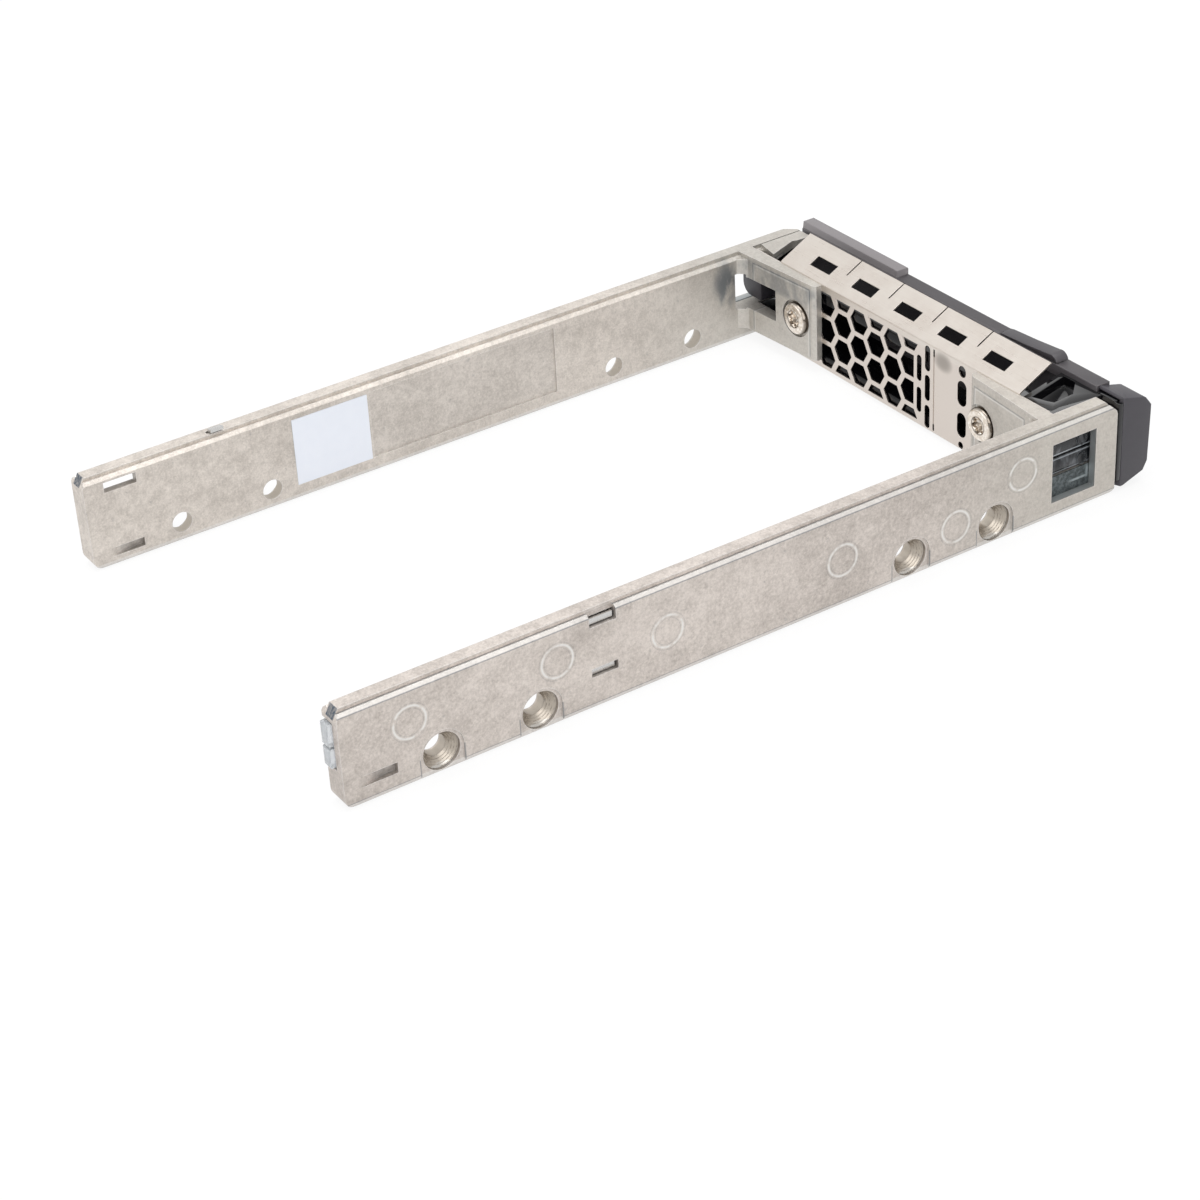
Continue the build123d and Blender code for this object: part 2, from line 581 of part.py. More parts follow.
def light_pipe(low, high):
    with BuildPart() as pipe:
        block((holder_face - 0.1, rail_thickness - 0.3), (-pipe_reach, holder_rear - 0.2), (low, high))
        block((holder_face + 0.4, rail_thickness - 0.65), (holder_rear - 1, plate_rear - 0.8),
              ((low + high) / 2 - 0.8, (low + high) / 2 + 0.8))
    return pipe


light_pipe_upper = light_pipe(*pipe_heights["upper"])
light_pipe_lower = light_pipe(*pipe_heights["lower"])

with BuildPart() as pipe_holder:
    block((holder_face, rail_thickness - 0.15), (holder_rear, plate_rear - 0.7),
          (channel_floor + 0.1, channel_roof - 0.1))
    for low, high in pipe_heights.values():
        block((holder_face + 0.35, rail_thickness - 0.6), (holder_rear - 1, plate_rear + 1),
              ((low + high) / 2 - 0.85, (low + high) / 2 + 0.85), Mode.SUBTRACT)
    block((holder_face - 0.5, holder_face + 0.2), (holder_rear - 1, plate_rear), (8.45, 8.75), Mode.SUBTRACT)
    for forward, height in ((tab_front + 4.35, 10.1), (tab_front + 4.45, 6.9)):
        with BuildSketch(Plane.YZ.offset(xx(holder_face + 0.1))):
            with Locations((yy(forward), height)):
                Circle(1.0)
        extrude(amount=-0.45)

clip_run = (clip_place[0] + clip_gap, clip_place[1] - clip_gap)
with BuildPart() as pipe_clip:
    block((3.48, 3.68), clip_run, (4.95, 13.6))
    block((0.55, 3.6), clip_run, (4.95, 5.4))
    block((0.5, 3.6), clip_run, (13.2, 13.6))
    block((0.5, 0.8), clip_run, (12.75, 13.6))
    block((0.55, 0.85), clip_run, (4.95, 5.75))


def tab_screw(screw_x):
    """Pan-head screw on a tab, its axis along the caddy."""
    shank = tab_front - tab_seat + insert_length + 0.3
    with BuildPart() as screw:
        with BuildSketch(Plane(origin=(xx(screw_x), yy(tab_seat), tab_screw_height), x_dir=(1, 0, 0), z_dir=(0, 0, 1))):
            with BuildLine():
                Polyline((0, -shank), (tab_screw_radius - 0.25, -shank), (tab_screw_radius, -shank + 0.3),
                         (tab_screw_radius, 0), (tab_head_radius, 0), (tab_head_radius, 0.35),
                         (tab_head_radius - 0.45, tab_head_height), (0, tab_head_height), close=True)
            make_face()
        revolve(axis=Axis((xx(screw_x), yy(tab_seat), tab_screw_height), (0, 1, 0)))
        with BuildSketch(Plane(origin=(xx(screw_x), yy(tab_seat - tab_head_height), tab_screw_height),
                               z_dir=(0, 1, 0))):
            RegularPolygon(radius=1.2, side_count=6)
        extrude(amount=-0.7, mode=Mode.SUBTRACT)
    return screw


left_tab_screw = tab_screw(left_screw_x)
right_tab_screw = tab_screw(right_screw_x)


def screw_insert(screw_x):
    """Threaded insert in the bezel frame, flush with its rear face and waisted in the middle."""
    with BuildPart() as insert:
        with Locations(Plane(origin=(xx(screw_x), yy(body_rear), tab_screw_height), z_dir=(0, 1, 0))):
            Cylinder(radius=insert_radius, height=insert_length, align=(Align.CENTER, Align.CENTER, Align.MAX))
        with BuildSketch(Plane(origin=(xx(screw_x), yy(body_rear + 2.1), tab_screw_height), z_dir=(0, 1, 0))):
            Circle(insert_radius + 0.1)
            Circle(insert_radius - 0.2, mode=Mode.SUBTRACT)
        extrude(amount=-0.8, mode=Mode.SUBTRACT)
        with Locations(Plane(origin=(xx(screw_x), yy(body_rear), tab_screw_height), z_dir=(0, 1, 0))):
            Hole(radius=tab_screw_radius + 0.06, depth=insert_length + 1)
    return insert


left_screw_insert = screw_insert(left_screw_x)
right_screw_insert = screw_insert(right_screw_x)

with BuildPart() as serial_label:
    block((right_inner - 0.1, right_inner), (label_rear, label_rear + label_length),
          (label_bottom, label_bottom + label_height))

# Leaf spring in the right rail's outer channel, hooked over the ridge
spring_web = right_inner + web_thickness
spring_mid = (spring_place[0] + spring_place[1]) / 2
hook_run = (spring_place[0] + 0.1, spring_place[1] - 0.2)
with BuildPart() as rail_spring:
    with BuildSketch(Plane.XY.offset(channel_floor + 2)):
        with BuildLine():
            inner_run = ThreePointArc(
                (xx(spring_web + 0.05), yy(spring_mid - 10)),
                (xx(spring_web + 1.9), yy(spring_mid)),
                (xx(spring_web + 0.05), yy(spring_mid + 10)),
            )
            outer_run = ThreePointArc(
                (xx(spring_web + 0.2), yy(spring_mid - 10.4)),
                (xx(spring_web + 2.15), yy(spring_mid)),
                (xx(spring_web + 0.2), yy(spring_mid + 10.4)),
            )
            Line(inner_run @ 0, outer_run @ 0)
            Line(inner_run @ 1, outer_run @ 1)
        make_face()
    extrude(amount=3.6)
    block((spring_web + 0.12, spring_web + 0.38), hook_run, (channel_floor + 5.3, rail_top + 0.6))
    block((spring_web + 0.12, spring_web + 2.0), hook_run, (channel_floor + 5.3, channel_floor + 5.6))
    block((spring_web - 0.75, spring_web + 0.38), hook_run, (rail_top + 0.3, rail_top + 0.6))
    block((spring_web - 0.75, spring_web - 0.5), hook_run, (rail_top + 0.3, rail_top + 0.9))

pieces = {
    "left_rail": left_rail,
    "right_rail": right_rail,
    "emi_shield": emi_shield,
    "bezel_frame": bezel_frame,
    "bezel_plate": bezel_plate,
    "lever_handle": lever_handle,
    "lever_pin": lever_pin,
    "lever_spring": lever_spring,
    "release_latch": release_latch,
    "latch_spring": latch_spring,
    "led_end_cap": led_end_cap,
    "light_pipe_upper": light_pipe_upper,
    "light_pipe_lower": light_pipe_lower,
    "pipe_holder": pipe_holder,
    "pipe_clip": pipe_clip,
    "left_tab_screw": left_tab_screw,
    "right_tab_screw": right_tab_screw,
    "left_screw_insert": left_screw_insert,
    "right_screw_insert": right_screw_insert,
    "serial_label": serial_label,
    "rail_spring": rail_spring,
}
os.makedirs("parts", exist_ok=True)
for name, piece in pieces.items():
    piece.part.label = name
    export_step(piece.part, f"parts/{name}.step")
    size = piece.part.bounding_box().size
    print(name, len(piece.part.solids()), [round(v, 2) for v in size], round(piece.part.volume, 2))
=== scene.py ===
# %% [markdown]
# # A hot swap drive caddy
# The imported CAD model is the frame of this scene. It brings every piece in its true place, in metres,
# so the cells below only dress it: the camera first, then one finish after another, then the small
# forms that a cast, stamped or moulded piece has and that plain solids leave out, and light last.

# %% Load the frame
import math

import bmesh
import bpy
from mathutils import Matrix, Vector


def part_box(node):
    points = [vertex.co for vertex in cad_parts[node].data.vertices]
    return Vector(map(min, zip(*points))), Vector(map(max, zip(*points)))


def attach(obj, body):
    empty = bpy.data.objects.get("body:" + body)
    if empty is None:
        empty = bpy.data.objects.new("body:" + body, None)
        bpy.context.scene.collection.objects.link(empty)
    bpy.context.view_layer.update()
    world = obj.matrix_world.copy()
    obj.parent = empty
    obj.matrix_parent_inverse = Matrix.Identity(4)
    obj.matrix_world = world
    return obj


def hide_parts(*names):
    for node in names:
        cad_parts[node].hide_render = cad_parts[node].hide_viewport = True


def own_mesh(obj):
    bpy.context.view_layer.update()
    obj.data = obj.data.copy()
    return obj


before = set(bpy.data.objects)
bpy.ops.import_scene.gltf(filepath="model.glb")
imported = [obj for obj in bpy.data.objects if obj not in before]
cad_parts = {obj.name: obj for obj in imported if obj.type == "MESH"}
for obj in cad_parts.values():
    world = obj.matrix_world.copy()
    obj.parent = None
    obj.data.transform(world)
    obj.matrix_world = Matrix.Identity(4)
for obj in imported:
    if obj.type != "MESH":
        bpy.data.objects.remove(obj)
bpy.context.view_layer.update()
MM = 0.001


def linked(name, data):
    """A new object that carries this data, in the scene."""
    obj = bpy.data.objects.new(name, data)
    bpy.context.scene.collection.objects.link(obj)
    return obj


def smoothed(mesh, degrees):
    """Smooth shading, broken at edges sharper than the angle."""
    for polygon in mesh.polygons:
        polygon.use_smooth = True
    mesh.set_sharp_from_angle(angle=math.radians(degrees))


# %% [markdown]
# ## Where things are
# The frame gives each node's corners. The left rail's outer face and the rails' rear ends are the two
# planes that a maker would measure from, so every place below is given across from the one and forward
# of the other, in millimetres.

# %% Measuring from the rails
left_low, left_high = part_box("left_rail")
_, right_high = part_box("right_rail")
OUTER_X = left_low.x
REAR_Y = left_high.y


def place(across, forward, height):
    """A point in metres from millimetres across, forward and up."""
    return Vector((OUTER_X + across * MM, REAR_Y - forward * MM, height * MM))


print("across the rails: %.2f mm" % ((right_high.x - left_low.x) / MM))

# %% [markdown]
# ## Camera
# A product photograph from a little under half a metre has real perspective, so the camera stands where
# the photographer's did and its lens follows from the picture: the near rail's length and the width of
# the drive bay fix both. The lens is shifted sideways a little, as the picture was cropped off centre.

# %% Camera
camera_data = bpy.data.cameras.new("camera")
camera = linked("camera", camera_data)
bpy.context.scene.camera = camera
camera_data.sensor_width = 36
camera_data.lens = 88.66
camera_data.shift_x = 0.0834
camera_data.clip_start = 0.01
camera_data.clip_end = 20
right_dir = Vector((-0.531482, -0.844404, -0.06715))
down_dir = Vector((-0.418648, 0.330763, -0.845772))
view_dir = Vector((0.736383, -0.4214, -0.529303))
stand = place(-275.44, -132.76, 220.03)
turn = Matrix((right_dir, -down_dir, -view_dir)).transposed().to_4x4()
camera.matrix_world = Matrix.Translation(stand) @ turn
print("camera stands %.0f mm from the middle" % (stand.length / MM))

# %% [markdown]
# ## A small language for materials
# Shader nodes are easier to read as sums than as boxes and noodles. `Signal` wraps the socket that
# carries a number, so `1 - mask` or `noise * 0.2` add the Math nodes by themselves, and `Finish` starts
# a material whose constants sit on the shader's own sockets.

# %% Signals
class Signal:
    """A number that varies over a surface."""

    def __init__(self, tree, socket):
        self.tree = tree
        self.socket = socket

    def math(self, operation, *others, clamp=False):
        node = self.tree.nodes.new("ShaderNodeMath")
        node.operation = operation
        node.use_clamp = clamp
        for slot_number, value in enumerate(others):
            if isinstance(value, Signal):
                self.tree.links.new(value.socket, node.inputs[slot_number])
            else:
                node.inputs[slot_number].default_value = value
        return Signal(self.tree, node.outputs[0])

    def __add__(self, other):
        return self.math("ADD", self, other)

    def __sub__(self, other):
        return self.math("SUBTRACT", self, other)

    def __rsub__(self, other):
        return self.math("SUBTRACT", other, self)

    def __mul__(self, other):
        return self.math("MULTIPLY", self, other)

    def __truediv__(self, other):
        return self.math("DIVIDE", self, other)

    def __pow__(self, other):
        return self.math("POWER", self, other)

    def __abs__(self):
        return self.math("ABSOLUTE", self)

    __radd__ = __add__
    __rmul__ = __mul__

    def held(self):
        """The same number kept between 0 and 1."""
        return self.math("ADD", self, 0.0, clamp=True)

    def least(self, other):
        return self.math("MINIMUM", self, other)

    def most(self, other):
        return self.math("MAXIMUM", self, other)

    def ramp(self, low, high):
        """0 below low, 1 above high, smooth between; a falling ramp has low above high."""
        node = self.tree.nodes.new("ShaderNodeMapRange")
        node.interpolation_type = "SMOOTHSTEP"
        self.tree.links.new(self.socket, node.inputs[0])
        node.inputs[1].default_value = min(low, high)
        node.inputs[2].default_value = max(low, high)
        node.inputs[3].default_value = 0.0 if low < high else 1.0
        node.inputs[4].default_value = 1.0 if low < high else 0.0
        return Signal(self.tree, node.outputs[0])


print("a signal adds its own maths nodes")

# %% Finishes
SEED_STEPS = (1.0, 0.7, 1.3)
EDGE_START, EDGE_FULL = 0.02, 0.25
EDGE_SAMPLES, SOFT_SAMPLES = 6, 4


class Finish:
    """One material around a Principled shader."""

    def __init__(self, name, **constants):
        self.material = bpy.data.materials.new(name)
        self.material.use_nodes = True
        self.tree = self.material.node_tree
        self.tree.nodes.clear()
        self.output = self.tree.nodes.new("ShaderNodeOutputMaterial")
        self.shader = self.tree.nodes.new("ShaderNodeBsdfPrincipled")
        self.tree.links.new(self.shader.outputs[0], self.output.inputs[0])
        for socket, value in constants.items():
            self.shader.inputs[socket.replace("_", " ")].default_value = value

    def node(self, kind, settings=None, **sockets):
        """Adds a node: settings first, then values or links by socket name, or by number as s0, s1."""
        node = self.tree.nodes.new(kind)
        for key, value in (settings or {}).items():
            if key == "stops":
                ramp = node.color_ramp
                while len(ramp.elements) < len(value):
                    ramp.elements.new(0.5)
                for element, (position, colour) in zip(ramp.elements, value):
                    element.position = position
                    element.color = colour
            else:
                setattr(node, key, value)
        for key, value in sockets.items():
            numbered = key[0] == "s" and key[1:].isdigit()
            socket = node.inputs[int(key[1:])] if numbered else node.inputs[key.replace("_", " ")]
            if isinstance(value, Signal):
                self.tree.links.new(value.socket, socket)
            elif isinstance(value, bpy.types.NodeSocket):
                self.tree.links.new(value, socket)
            else:
                socket.default_value = value
        return node

    def number(self, node, output=0):
        return Signal(self.tree, node.outputs[output])

    def here(self):
        """The point on the object, as a vector socket in metres."""
        return self.node("ShaderNodeTexCoord").outputs["Object"]

    def axes(self):
        """The point's three coordinates in millimetres."""
        parts = self.node("ShaderNodeSeparateXYZ", None, s0=self.here())
        return [self.number(parts, i) * 1000.0 for i in range(3)]

    def noise(self, size_mm, detail=2.0, roughness=0.5, stretch=(1, 1, 1), seed=0.0):
        """Noise with features about this large. A stretch above 1 makes them longer along that axis,
        and the seed moves the pattern."""
        scale = tuple(1.0 / s for s in stretch)
        mapping = self.node("ShaderNodeMapping", None, Vector=self.here(), Scale=scale,
                            Location=tuple(seed * step for step in SEED_STEPS))
        texture = self.node("ShaderNodeTexNoise", None, Vector=mapping.outputs[0],
                            Scale=1000.0 / size_mm, Detail=detail, Roughness=roughness)
        return self.number(texture)

    def blend(self, factor, first, second):
        """A colour between two colours, each a tuple or a socket."""
        node = self.node("ShaderNodeMix", {"data_type": "RGBA"}, s0=factor, s6=first, s7=second)
        return node.outputs[2]

    def edge_wear_and_highlight(self, radius_mm):
        """1 on the edges of the form, 0 on its faces: how far a rounded normal leaves the true one.
        It marks wear on the zinc edges, painted edge highlights on the plastics and the darker edges of the
        pipes.
        """
        rounded = self.node("ShaderNodeBevel", {"samples": EDGE_SAMPLES}, Radius=radius_mm * MM)
        true = self.node("ShaderNodeNewGeometry")
        dot = self.node("ShaderNodeVectorMath", {"operation": "DOT_PRODUCT"}, s0=rounded.outputs[0],
                        s1=true.outputs["Normal"])
        return (1 - self.number(dot, 1)).ramp(EDGE_START, EDGE_FULL)

    def feed(self, **sockets):
        """Links signals or colours to the shader's own sockets."""
        for key, value in sockets.items():
            source = value.socket if isinstance(value, Signal) else value
            self.tree.links.new(source, self.shader.inputs[key.replace("_", " ")])

    def relief(self, height, depth_mm, soften_mm):
        """Bump from a height between 0 and 1, over edges rounded by the given radius."""
        bump = self.node("ShaderNodeBump", None, Strength=1.0, Distance=depth_mm * MM, Height=height)
        rounded = self.node("ShaderNodeBevel", {"samples": SOFT_SAMPLES}, Radius=soften_mm * MM)
        self.tree.links.new(rounded.outputs[0], bump.inputs["Normal"])
        self.tree.links.new(bump.outputs[0], self.shader.inputs["Normal"])


def shade(finish, *names):
    """Gives CAD nodes a finish."""
    for name in names:
        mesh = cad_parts[name].data
        mesh.materials.clear()
        mesh.materials.append(finish.material)


def grey(value):
    return (value, value, value, 1.0)


print("a finish starts from one Principled shader")

# %% [markdown]
# ## Cast zinc
# The rails are die cast and tumbled, not painted. Cast zinc is a warm light grey with faint cloudy
# patches where the metal chilled, a fine grain, and rubbed brighter edges. The clouds come from noises
# of very different size. Painted shade darkens the fine steps beside the top ridge, the slot sides and
# the recesses, a painted highlight brightens the lower edge band and the shoulder, a painted dark
# reflection lies on the rear corner chamfer, and the screw seats are cut after casting and stay warmer,
# so each of these is a mask measured in millimetres from the same planes as above.

# %% Masks on the rails
RAIL_TOP = right_high.z / MM
RIDGE_OUTER, RIDGE_FOOT = 0.85, RAIL_TOP - 0.62
SHOULDER = RAIL_TOP - 1.0
FOOT_LINE = 0.72
INNER_SKIN = 3.6
HOLLOW_TOP, HOLLOW_END = 13.4, 115.5
DRIVE_SCREWS = [(14.65, 3.0), (29.8, 3.0), (91.25, 3.0), (106.4, 3.0)]
SEAT_RADIUS, SLOT_HALF = 2.8, 3.36
EJECTORS = [(10.3, 9.4), (32.7, 9.5), (50.1, 7.3), (79.3, 7.2), (99.2, 5.1), (111.3, 9.2)]
EJECTOR_RADIUS = 2.42
CORNER_SLOPE, CORNER_FOOT = 1.78, 13.6


def near(value, centre, half_width):
    """1 where the value is at the centre, 0 once it is further than the half width."""
    return abs(value - centre).ramp(half_width, half_width * 0.4)


def rail_axes(zinc, outer_sign):
    """Depth below a rail's outer face, which looks towards -X or +X, then the way forward, and up."""
    x, y, z = zinc.axes()
    depth = x - OUTER_X / MM if outer_sign < 0 else right_high.x / MM - x
    return depth, REAR_Y / MM - y, z


def to_nearest(forward, z, spots):
    """The distance along the rail's side to the nearest of some spots."""
    shortest = None
    for spot, height in spots:
        reach = ((forward - spot) ** 2.0 + (z - height) ** 2.0) ** 0.5
        shortest = reach if shortest is None else shortest.least(reach)
    return shortest


def rail_masks(zinc, outer_sign):
    """Where a rail is cut, darkened by painted shade, brightened by a painted highlight, given a painted
    dark reflection on its corner chamfer, and marked by the ejector pins.
    """
    depth, forward, z = rail_axes(zinc, outer_sign)
    face = depth.ramp(0.2, 0.1)
    seat = to_nearest(forward, z, DRIVE_SCREWS).ramp(SEAT_RADIUS + 0.05, SEAT_RADIUS - 0.1)
    seat = seat * depth.ramp(0.3, 0.45) * depth.ramp(INNER_SKIN, INNER_SKIN - 0.2)
    # Painted shade in the creases: the ridge foot, the shoulder, the foot line, the slot sides and a line
    # around each ejector ring.
    crease_shade = near(z, RIDGE_FOOT, 0.09) * near(depth, RIDGE_OUTER, 0.12)
    crease_shade = crease_shade + near(z, SHOULDER, 0.1) * face * 1.3 + near(z, FOOT_LINE, 0.07) * face
    for hole, height in DRIVE_SCREWS:
        side = near(abs(forward - hole), SLOT_HALF, 0.13) * z.ramp(height + 0.1, height - 0.1)
        crease_shade = crease_shade + side * face
    # A painted dark bluish reflection along the chamfer at the rear top corner.
    corner = near(z - forward * CORNER_SLOPE, CORNER_FOOT, 0.14) * forward.ramp(1.0, 0.9)
    corner = corner * depth.ramp(0.75, 0.9) * depth.ramp(2.75, 2.6)
    ring = abs(to_nearest(forward, z, EJECTORS) - EJECTOR_RADIUS)
    crease_shade = crease_shade + near(ring, 0.4, 0.1) * face * 0.3
    mottle = zinc.noise(1.6, 2.0, 0.6, seed=0.8).ramp(0.25, 0.55)
    cast_ring = ring.ramp(0.28, 0.05) * face * mottle
    # A painted highlight on the lower edge band and on the shoulder strip.
    highlight_band = z.ramp(0.75, 0.6) + depth.ramp(0.8, 0.7) * z.ramp(SHOULDER, SHOULDER + 0.1)
    # Painted shade in the recesses of the rail's side.
    hollow_shade = depth.ramp(0.3, 0.7) * depth.ramp(INNER_SKIN, INNER_SKIN - 0.3)
    hollow_shade = hollow_shade * z.ramp(HOLLOW_TOP, HOLLOW_TOP - 0.2)
    hollow_shade = hollow_shade * forward.ramp(0.2, 0.4) * forward.ramp(HOLLOW_END, HOLLOW_END - 0.3)
    return seat, (crease_shade + hollow_shade * 0.45).held(), highlight_band.held(), corner.held(), cast_ring


print("the masks follow a rail %.1f mm high" % RAIL_TOP)

# %% Masks on the tabs and in the window
TAB_FACE = 116.2
LINE_HALF, LINE_STEP = 0.16, 0.28
WINDOW_REAR, WINDOW_FRONT, WINDOW_LOW, WINDOW_HIGH = 116.6, 125.1, 2.3, 12.0
RECESS_DEPTH = 1.35


def frame_line(across, z, pad):
    """A thin rectangular outline: the pad's left, right, low and high edge in millimetres."""
    left, right, low, high = pad
    inside = across.ramp(left - 0.1, left) * across.ramp(right + 0.1, right)
    upright = z.ramp(low - 0.1, low) * z.ramp(high + 0.1, high)
    sides = near(across, left, LINE_HALF).most(near(across, right, LINE_HALF)) * upright
    return sides.most(near(z, high, LINE_HALF) * inside)


def tab_lines(zinc, pad):
    """The step around a tab's raised pad: a painted shade line and, just inside it, a painted highlight
    line.
    """
    x, y, z = zinc.axes()
    across = x - OUTER_X / MM
    tab_face = (REAR_Y / MM - y).ramp(TAB_FACE, TAB_FACE + 0.2)
    left, right, low, high = pad
    inner = (left + LINE_STEP, right - LINE_STEP, low, high - 0.3)
    return frame_line(across, z, pad) * tab_face, frame_line(across, z, inner) * tab_face


def window_masks(zinc, outer_sign):
    """The recess below the carrier in the front window: painted shade on its floor, a painted lighter
    reflection on its side wall and a painted glint.
    """
    depth, forward, z = rail_axes(zinc, outer_sign)
    inside = forward.ramp(WINDOW_REAR, WINDOW_REAR + 0.2) * forward.ramp(WINDOW_FRONT, WINDOW_FRONT - 0.15)
    inside = inside * z.ramp(WINDOW_LOW, WINDOW_LOW + 0.1) * z.ramp(WINDOW_HIGH, WINDOW_HIGH - 0.1)
    floor_mask = inside * depth.ramp(RECESS_DEPTH - 0.15, RECESS_DEPTH) * depth.ramp(1.7, 1.5)
    wall_mask = inside * depth.ramp(0.1, 0.2) * depth.ramp(RECESS_DEPTH, RECESS_DEPTH - 0.15)
    upright = near(forward, 124.6, 0.3) * z.ramp(3.3, 3.7) * z.ramp(6.5, 4.5)
    level = near(z, 3.8, 0.25) * forward.ramp(120.8, 122.4) * forward.ramp(124.9, 124.6)
    return floor_mask, wall_mask, upright.most(level) * floor_mask


print("tab lines are %.2f mm wide" % (2 * LINE_HALF))

# %% Cast zinc finish
# For the left and the right rail: the dark, the light and the front tone.
ZINC_TONES = {-1: ((0.375, 0.335, 0.304, 1), (0.685, 0.627, 0.582, 1), (0.44, 0.435, 0.385, 1)),
              1: ((0.416, 0.376, 0.339, 1), (0.728, 0.674, 0.619, 1), (0.40, 0.41, 0.38, 1))}
# Cut seats; wear and painted highlights; pits and painted shade; a painted dark reflection on the corner
# chamfer.
CUT_TONE, WEAR_AND_HIGHLIGHT_TONE = (0.57, 0.49, 0.39, 1), (0.74, 0.73, 0.71, 1)
PITS_AND_SHADE_TONE, CORNER_REFLECTION_TONE = (0.13, 0.15, 0.17, 1), (0.05, 0.075, 0.105, 1)
# Painted shade on the window's recess floor, a painted lighter reflection on its side wall and a painted
# glint.
RECESS_DARK, RECESS_LIGHT = (0.03, 0.042, 0.048, 1), (0.10, 0.125, 0.135, 1)
REVEAL_TONE, GLINT_TONE = (0.42, 0.46, 0.48, 1), (0.52, 0.58, 0.60, 1)
# Painted dark reflections on the far rail's inner face: forward, height, and how far they reach along both.
REFLECTION_SPOT, REFLECTION_PATCH = (113.2, 10.4, 3.0, 5.2), (117.2, 12.6, 2.0, 2.2)
ZINC_METALLIC = 0.72


def oval(forward, z, spot):
    """0 in the middle of an oval spot, 1 on its rim."""
    middle, height, reach, rise = spot
    return ((forward - middle) / reach) ** 2.0 + ((z - height) / rise) ** 2.0


def cast_zinc(name, outer_sign, pad, reflection_share):
    zinc = Finish(name, Metallic=ZINC_METALLIC, IOR=1.5)
    _, forward, z = rail_axes(zinc, outer_sign)
    clouds = zinc.noise(11.0, 4.0, 0.62, (1, 1.8, 1), seed=outer_sign)
    patches = zinc.noise(1.8, 4.0, 0.7, seed=0.3 + outer_sign)
    grain = zinc.noise(0.3, 3.0, 0.7, seed=0.9)
    speckle = zinc.noise(0.55, 3.0, 0.75, seed=0.15)
    streaks = zinc.noise(0.5, 2.0, 0.5, (1, 22, 1), seed=0.2)
    pits = zinc.noise(0.9, 2.0, 0.5, seed=0.5).ramp(0.68, 0.78)
    reflection_breakup = zinc.noise(1.8, 3.0, 0.6, (1, 1, 2.2), seed=0.7).ramp(0.3, 0.6)
    strokes = zinc.noise(0.35, 2.0, 0.6, (1, 1, 9), seed=0.6).ramp(0.35, 0.65)
    # A painted dark reflection of the dark claw on the far rail's inner face, broken up by noise.
    dark_reflection = oval(forward, z, REFLECTION_SPOT).ramp(1.0, 0.0) + oval(forward, z, REFLECTION_PATCH).ramp(1.0, 0.2) * 0.6
    dark_reflection = dark_reflection * reflection_breakup * reflection_share
    seat, crease_shade, highlight_band, corner, cast_ring = rail_masks(zinc, outer_sign)
    step_shade_line, step_highlight_line = tab_lines(zinc, pad)
    shaded, reveal, glint = window_masks(zinc, outer_sign)
    edge = zinc.edge_wear_and_highlight(0.25)

    tone = (clouds * 0.3 + patches * 0.28 + grain * 0.3 + speckle * 0.27).ramp(0.39, 0.75)
    tone = (tone + (streaks - 0.5) * 0.1).held()
    low_tone, high_tone, front_tone = ZINC_TONES[outer_sign]
    colour = zinc.blend(tone, low_tone, high_tone)
    front = forward.ramp(90.0, 121.0) * (0.12 + patches * 0.5)
    # Wear on the edges and ejector rings, plus painted highlights on the lower band, the shoulder and
    # inside the pad's step.
    wear_and_highlight = edge * 0.7 + highlight_band * 0.45 + cast_ring * 0.8 + step_highlight_line * 0.5
    # Pits, plus painted shade in the creases, the recesses and on the pad's step, and the painted dark
    # reflection.
    pits_and_shade = crease_shade * 0.6 + pits * 0.22 + dark_reflection + step_shade_line * 0.4
    # Painted shade on the window's recess floor.
    recess = zinc.blend(speckle.ramp(0.4, 0.62), RECESS_DARK, RECESS_LIGHT)
    # Layers in turn: front tone, cut seats, wear and painted highlight, pits and painted shade, the corner
    # chamfer's painted dark reflection, and in the window painted shade, a painted lighter reflection and a
    # painted glint.
    for share, layer in ((front.held(), front_tone), (seat * 0.75, CUT_TONE), (wear_and_highlight.held(), WEAR_AND_HIGHLIGHT_TONE),
                         (pits_and_shade.held(), PITS_AND_SHADE_TONE), (corner * (0.55 + strokes * 0.4), CORNER_REFLECTION_TONE),
                         (shaded * 0.93, recess), (reveal * 0.7, REVEAL_TONE),
                         (glint * (0.3 + patches * 0.5), GLINT_TONE)):
        colour = zinc.blend(share, colour, layer)
    roughness = 0.40 + tone * 0.1 + grain * 0.08 - edge * 0.15 - seat * 0.16 - highlight_band * 0.1
    zinc.feed(Base_Color=colour, Metallic=ZINC_METALLIC + seat * 0.2, Roughness=roughness)
    height = grain * 0.5 + speckle * 0.25 + patches * 0.3 - pits * 0.5
    zinc.relief(height + cast_ring * 1.2 - step_shade_line * 1.5, 0.02, 0.1)
    return zinc


left_zinc = cast_zinc("cast_zinc_left", -1, (6.2, 18.4, 2.4, 13.5), 0.0)
right_zinc = cast_zinc("cast_zinc_right", 1, (57.9, 71.4, 2.4, 14.1), 0.8)
shade(left_zinc, "left_rail")
shade(right_zinc, "right_rail")
print("rails are cast zinc")

# %% [markdown]
# ## Nickel sheet
# The shield is thin sheet with a bright, slightly yellow nickel coat. It is nearly a mirror, so what it
# shows is mostly the room, broken by faint rolling lines along its length, smudges, and a soft dimple
# where the punch pressed the plain band, darkened by a painted dark reflection. Painted shade darkens
# the wall below the top band.

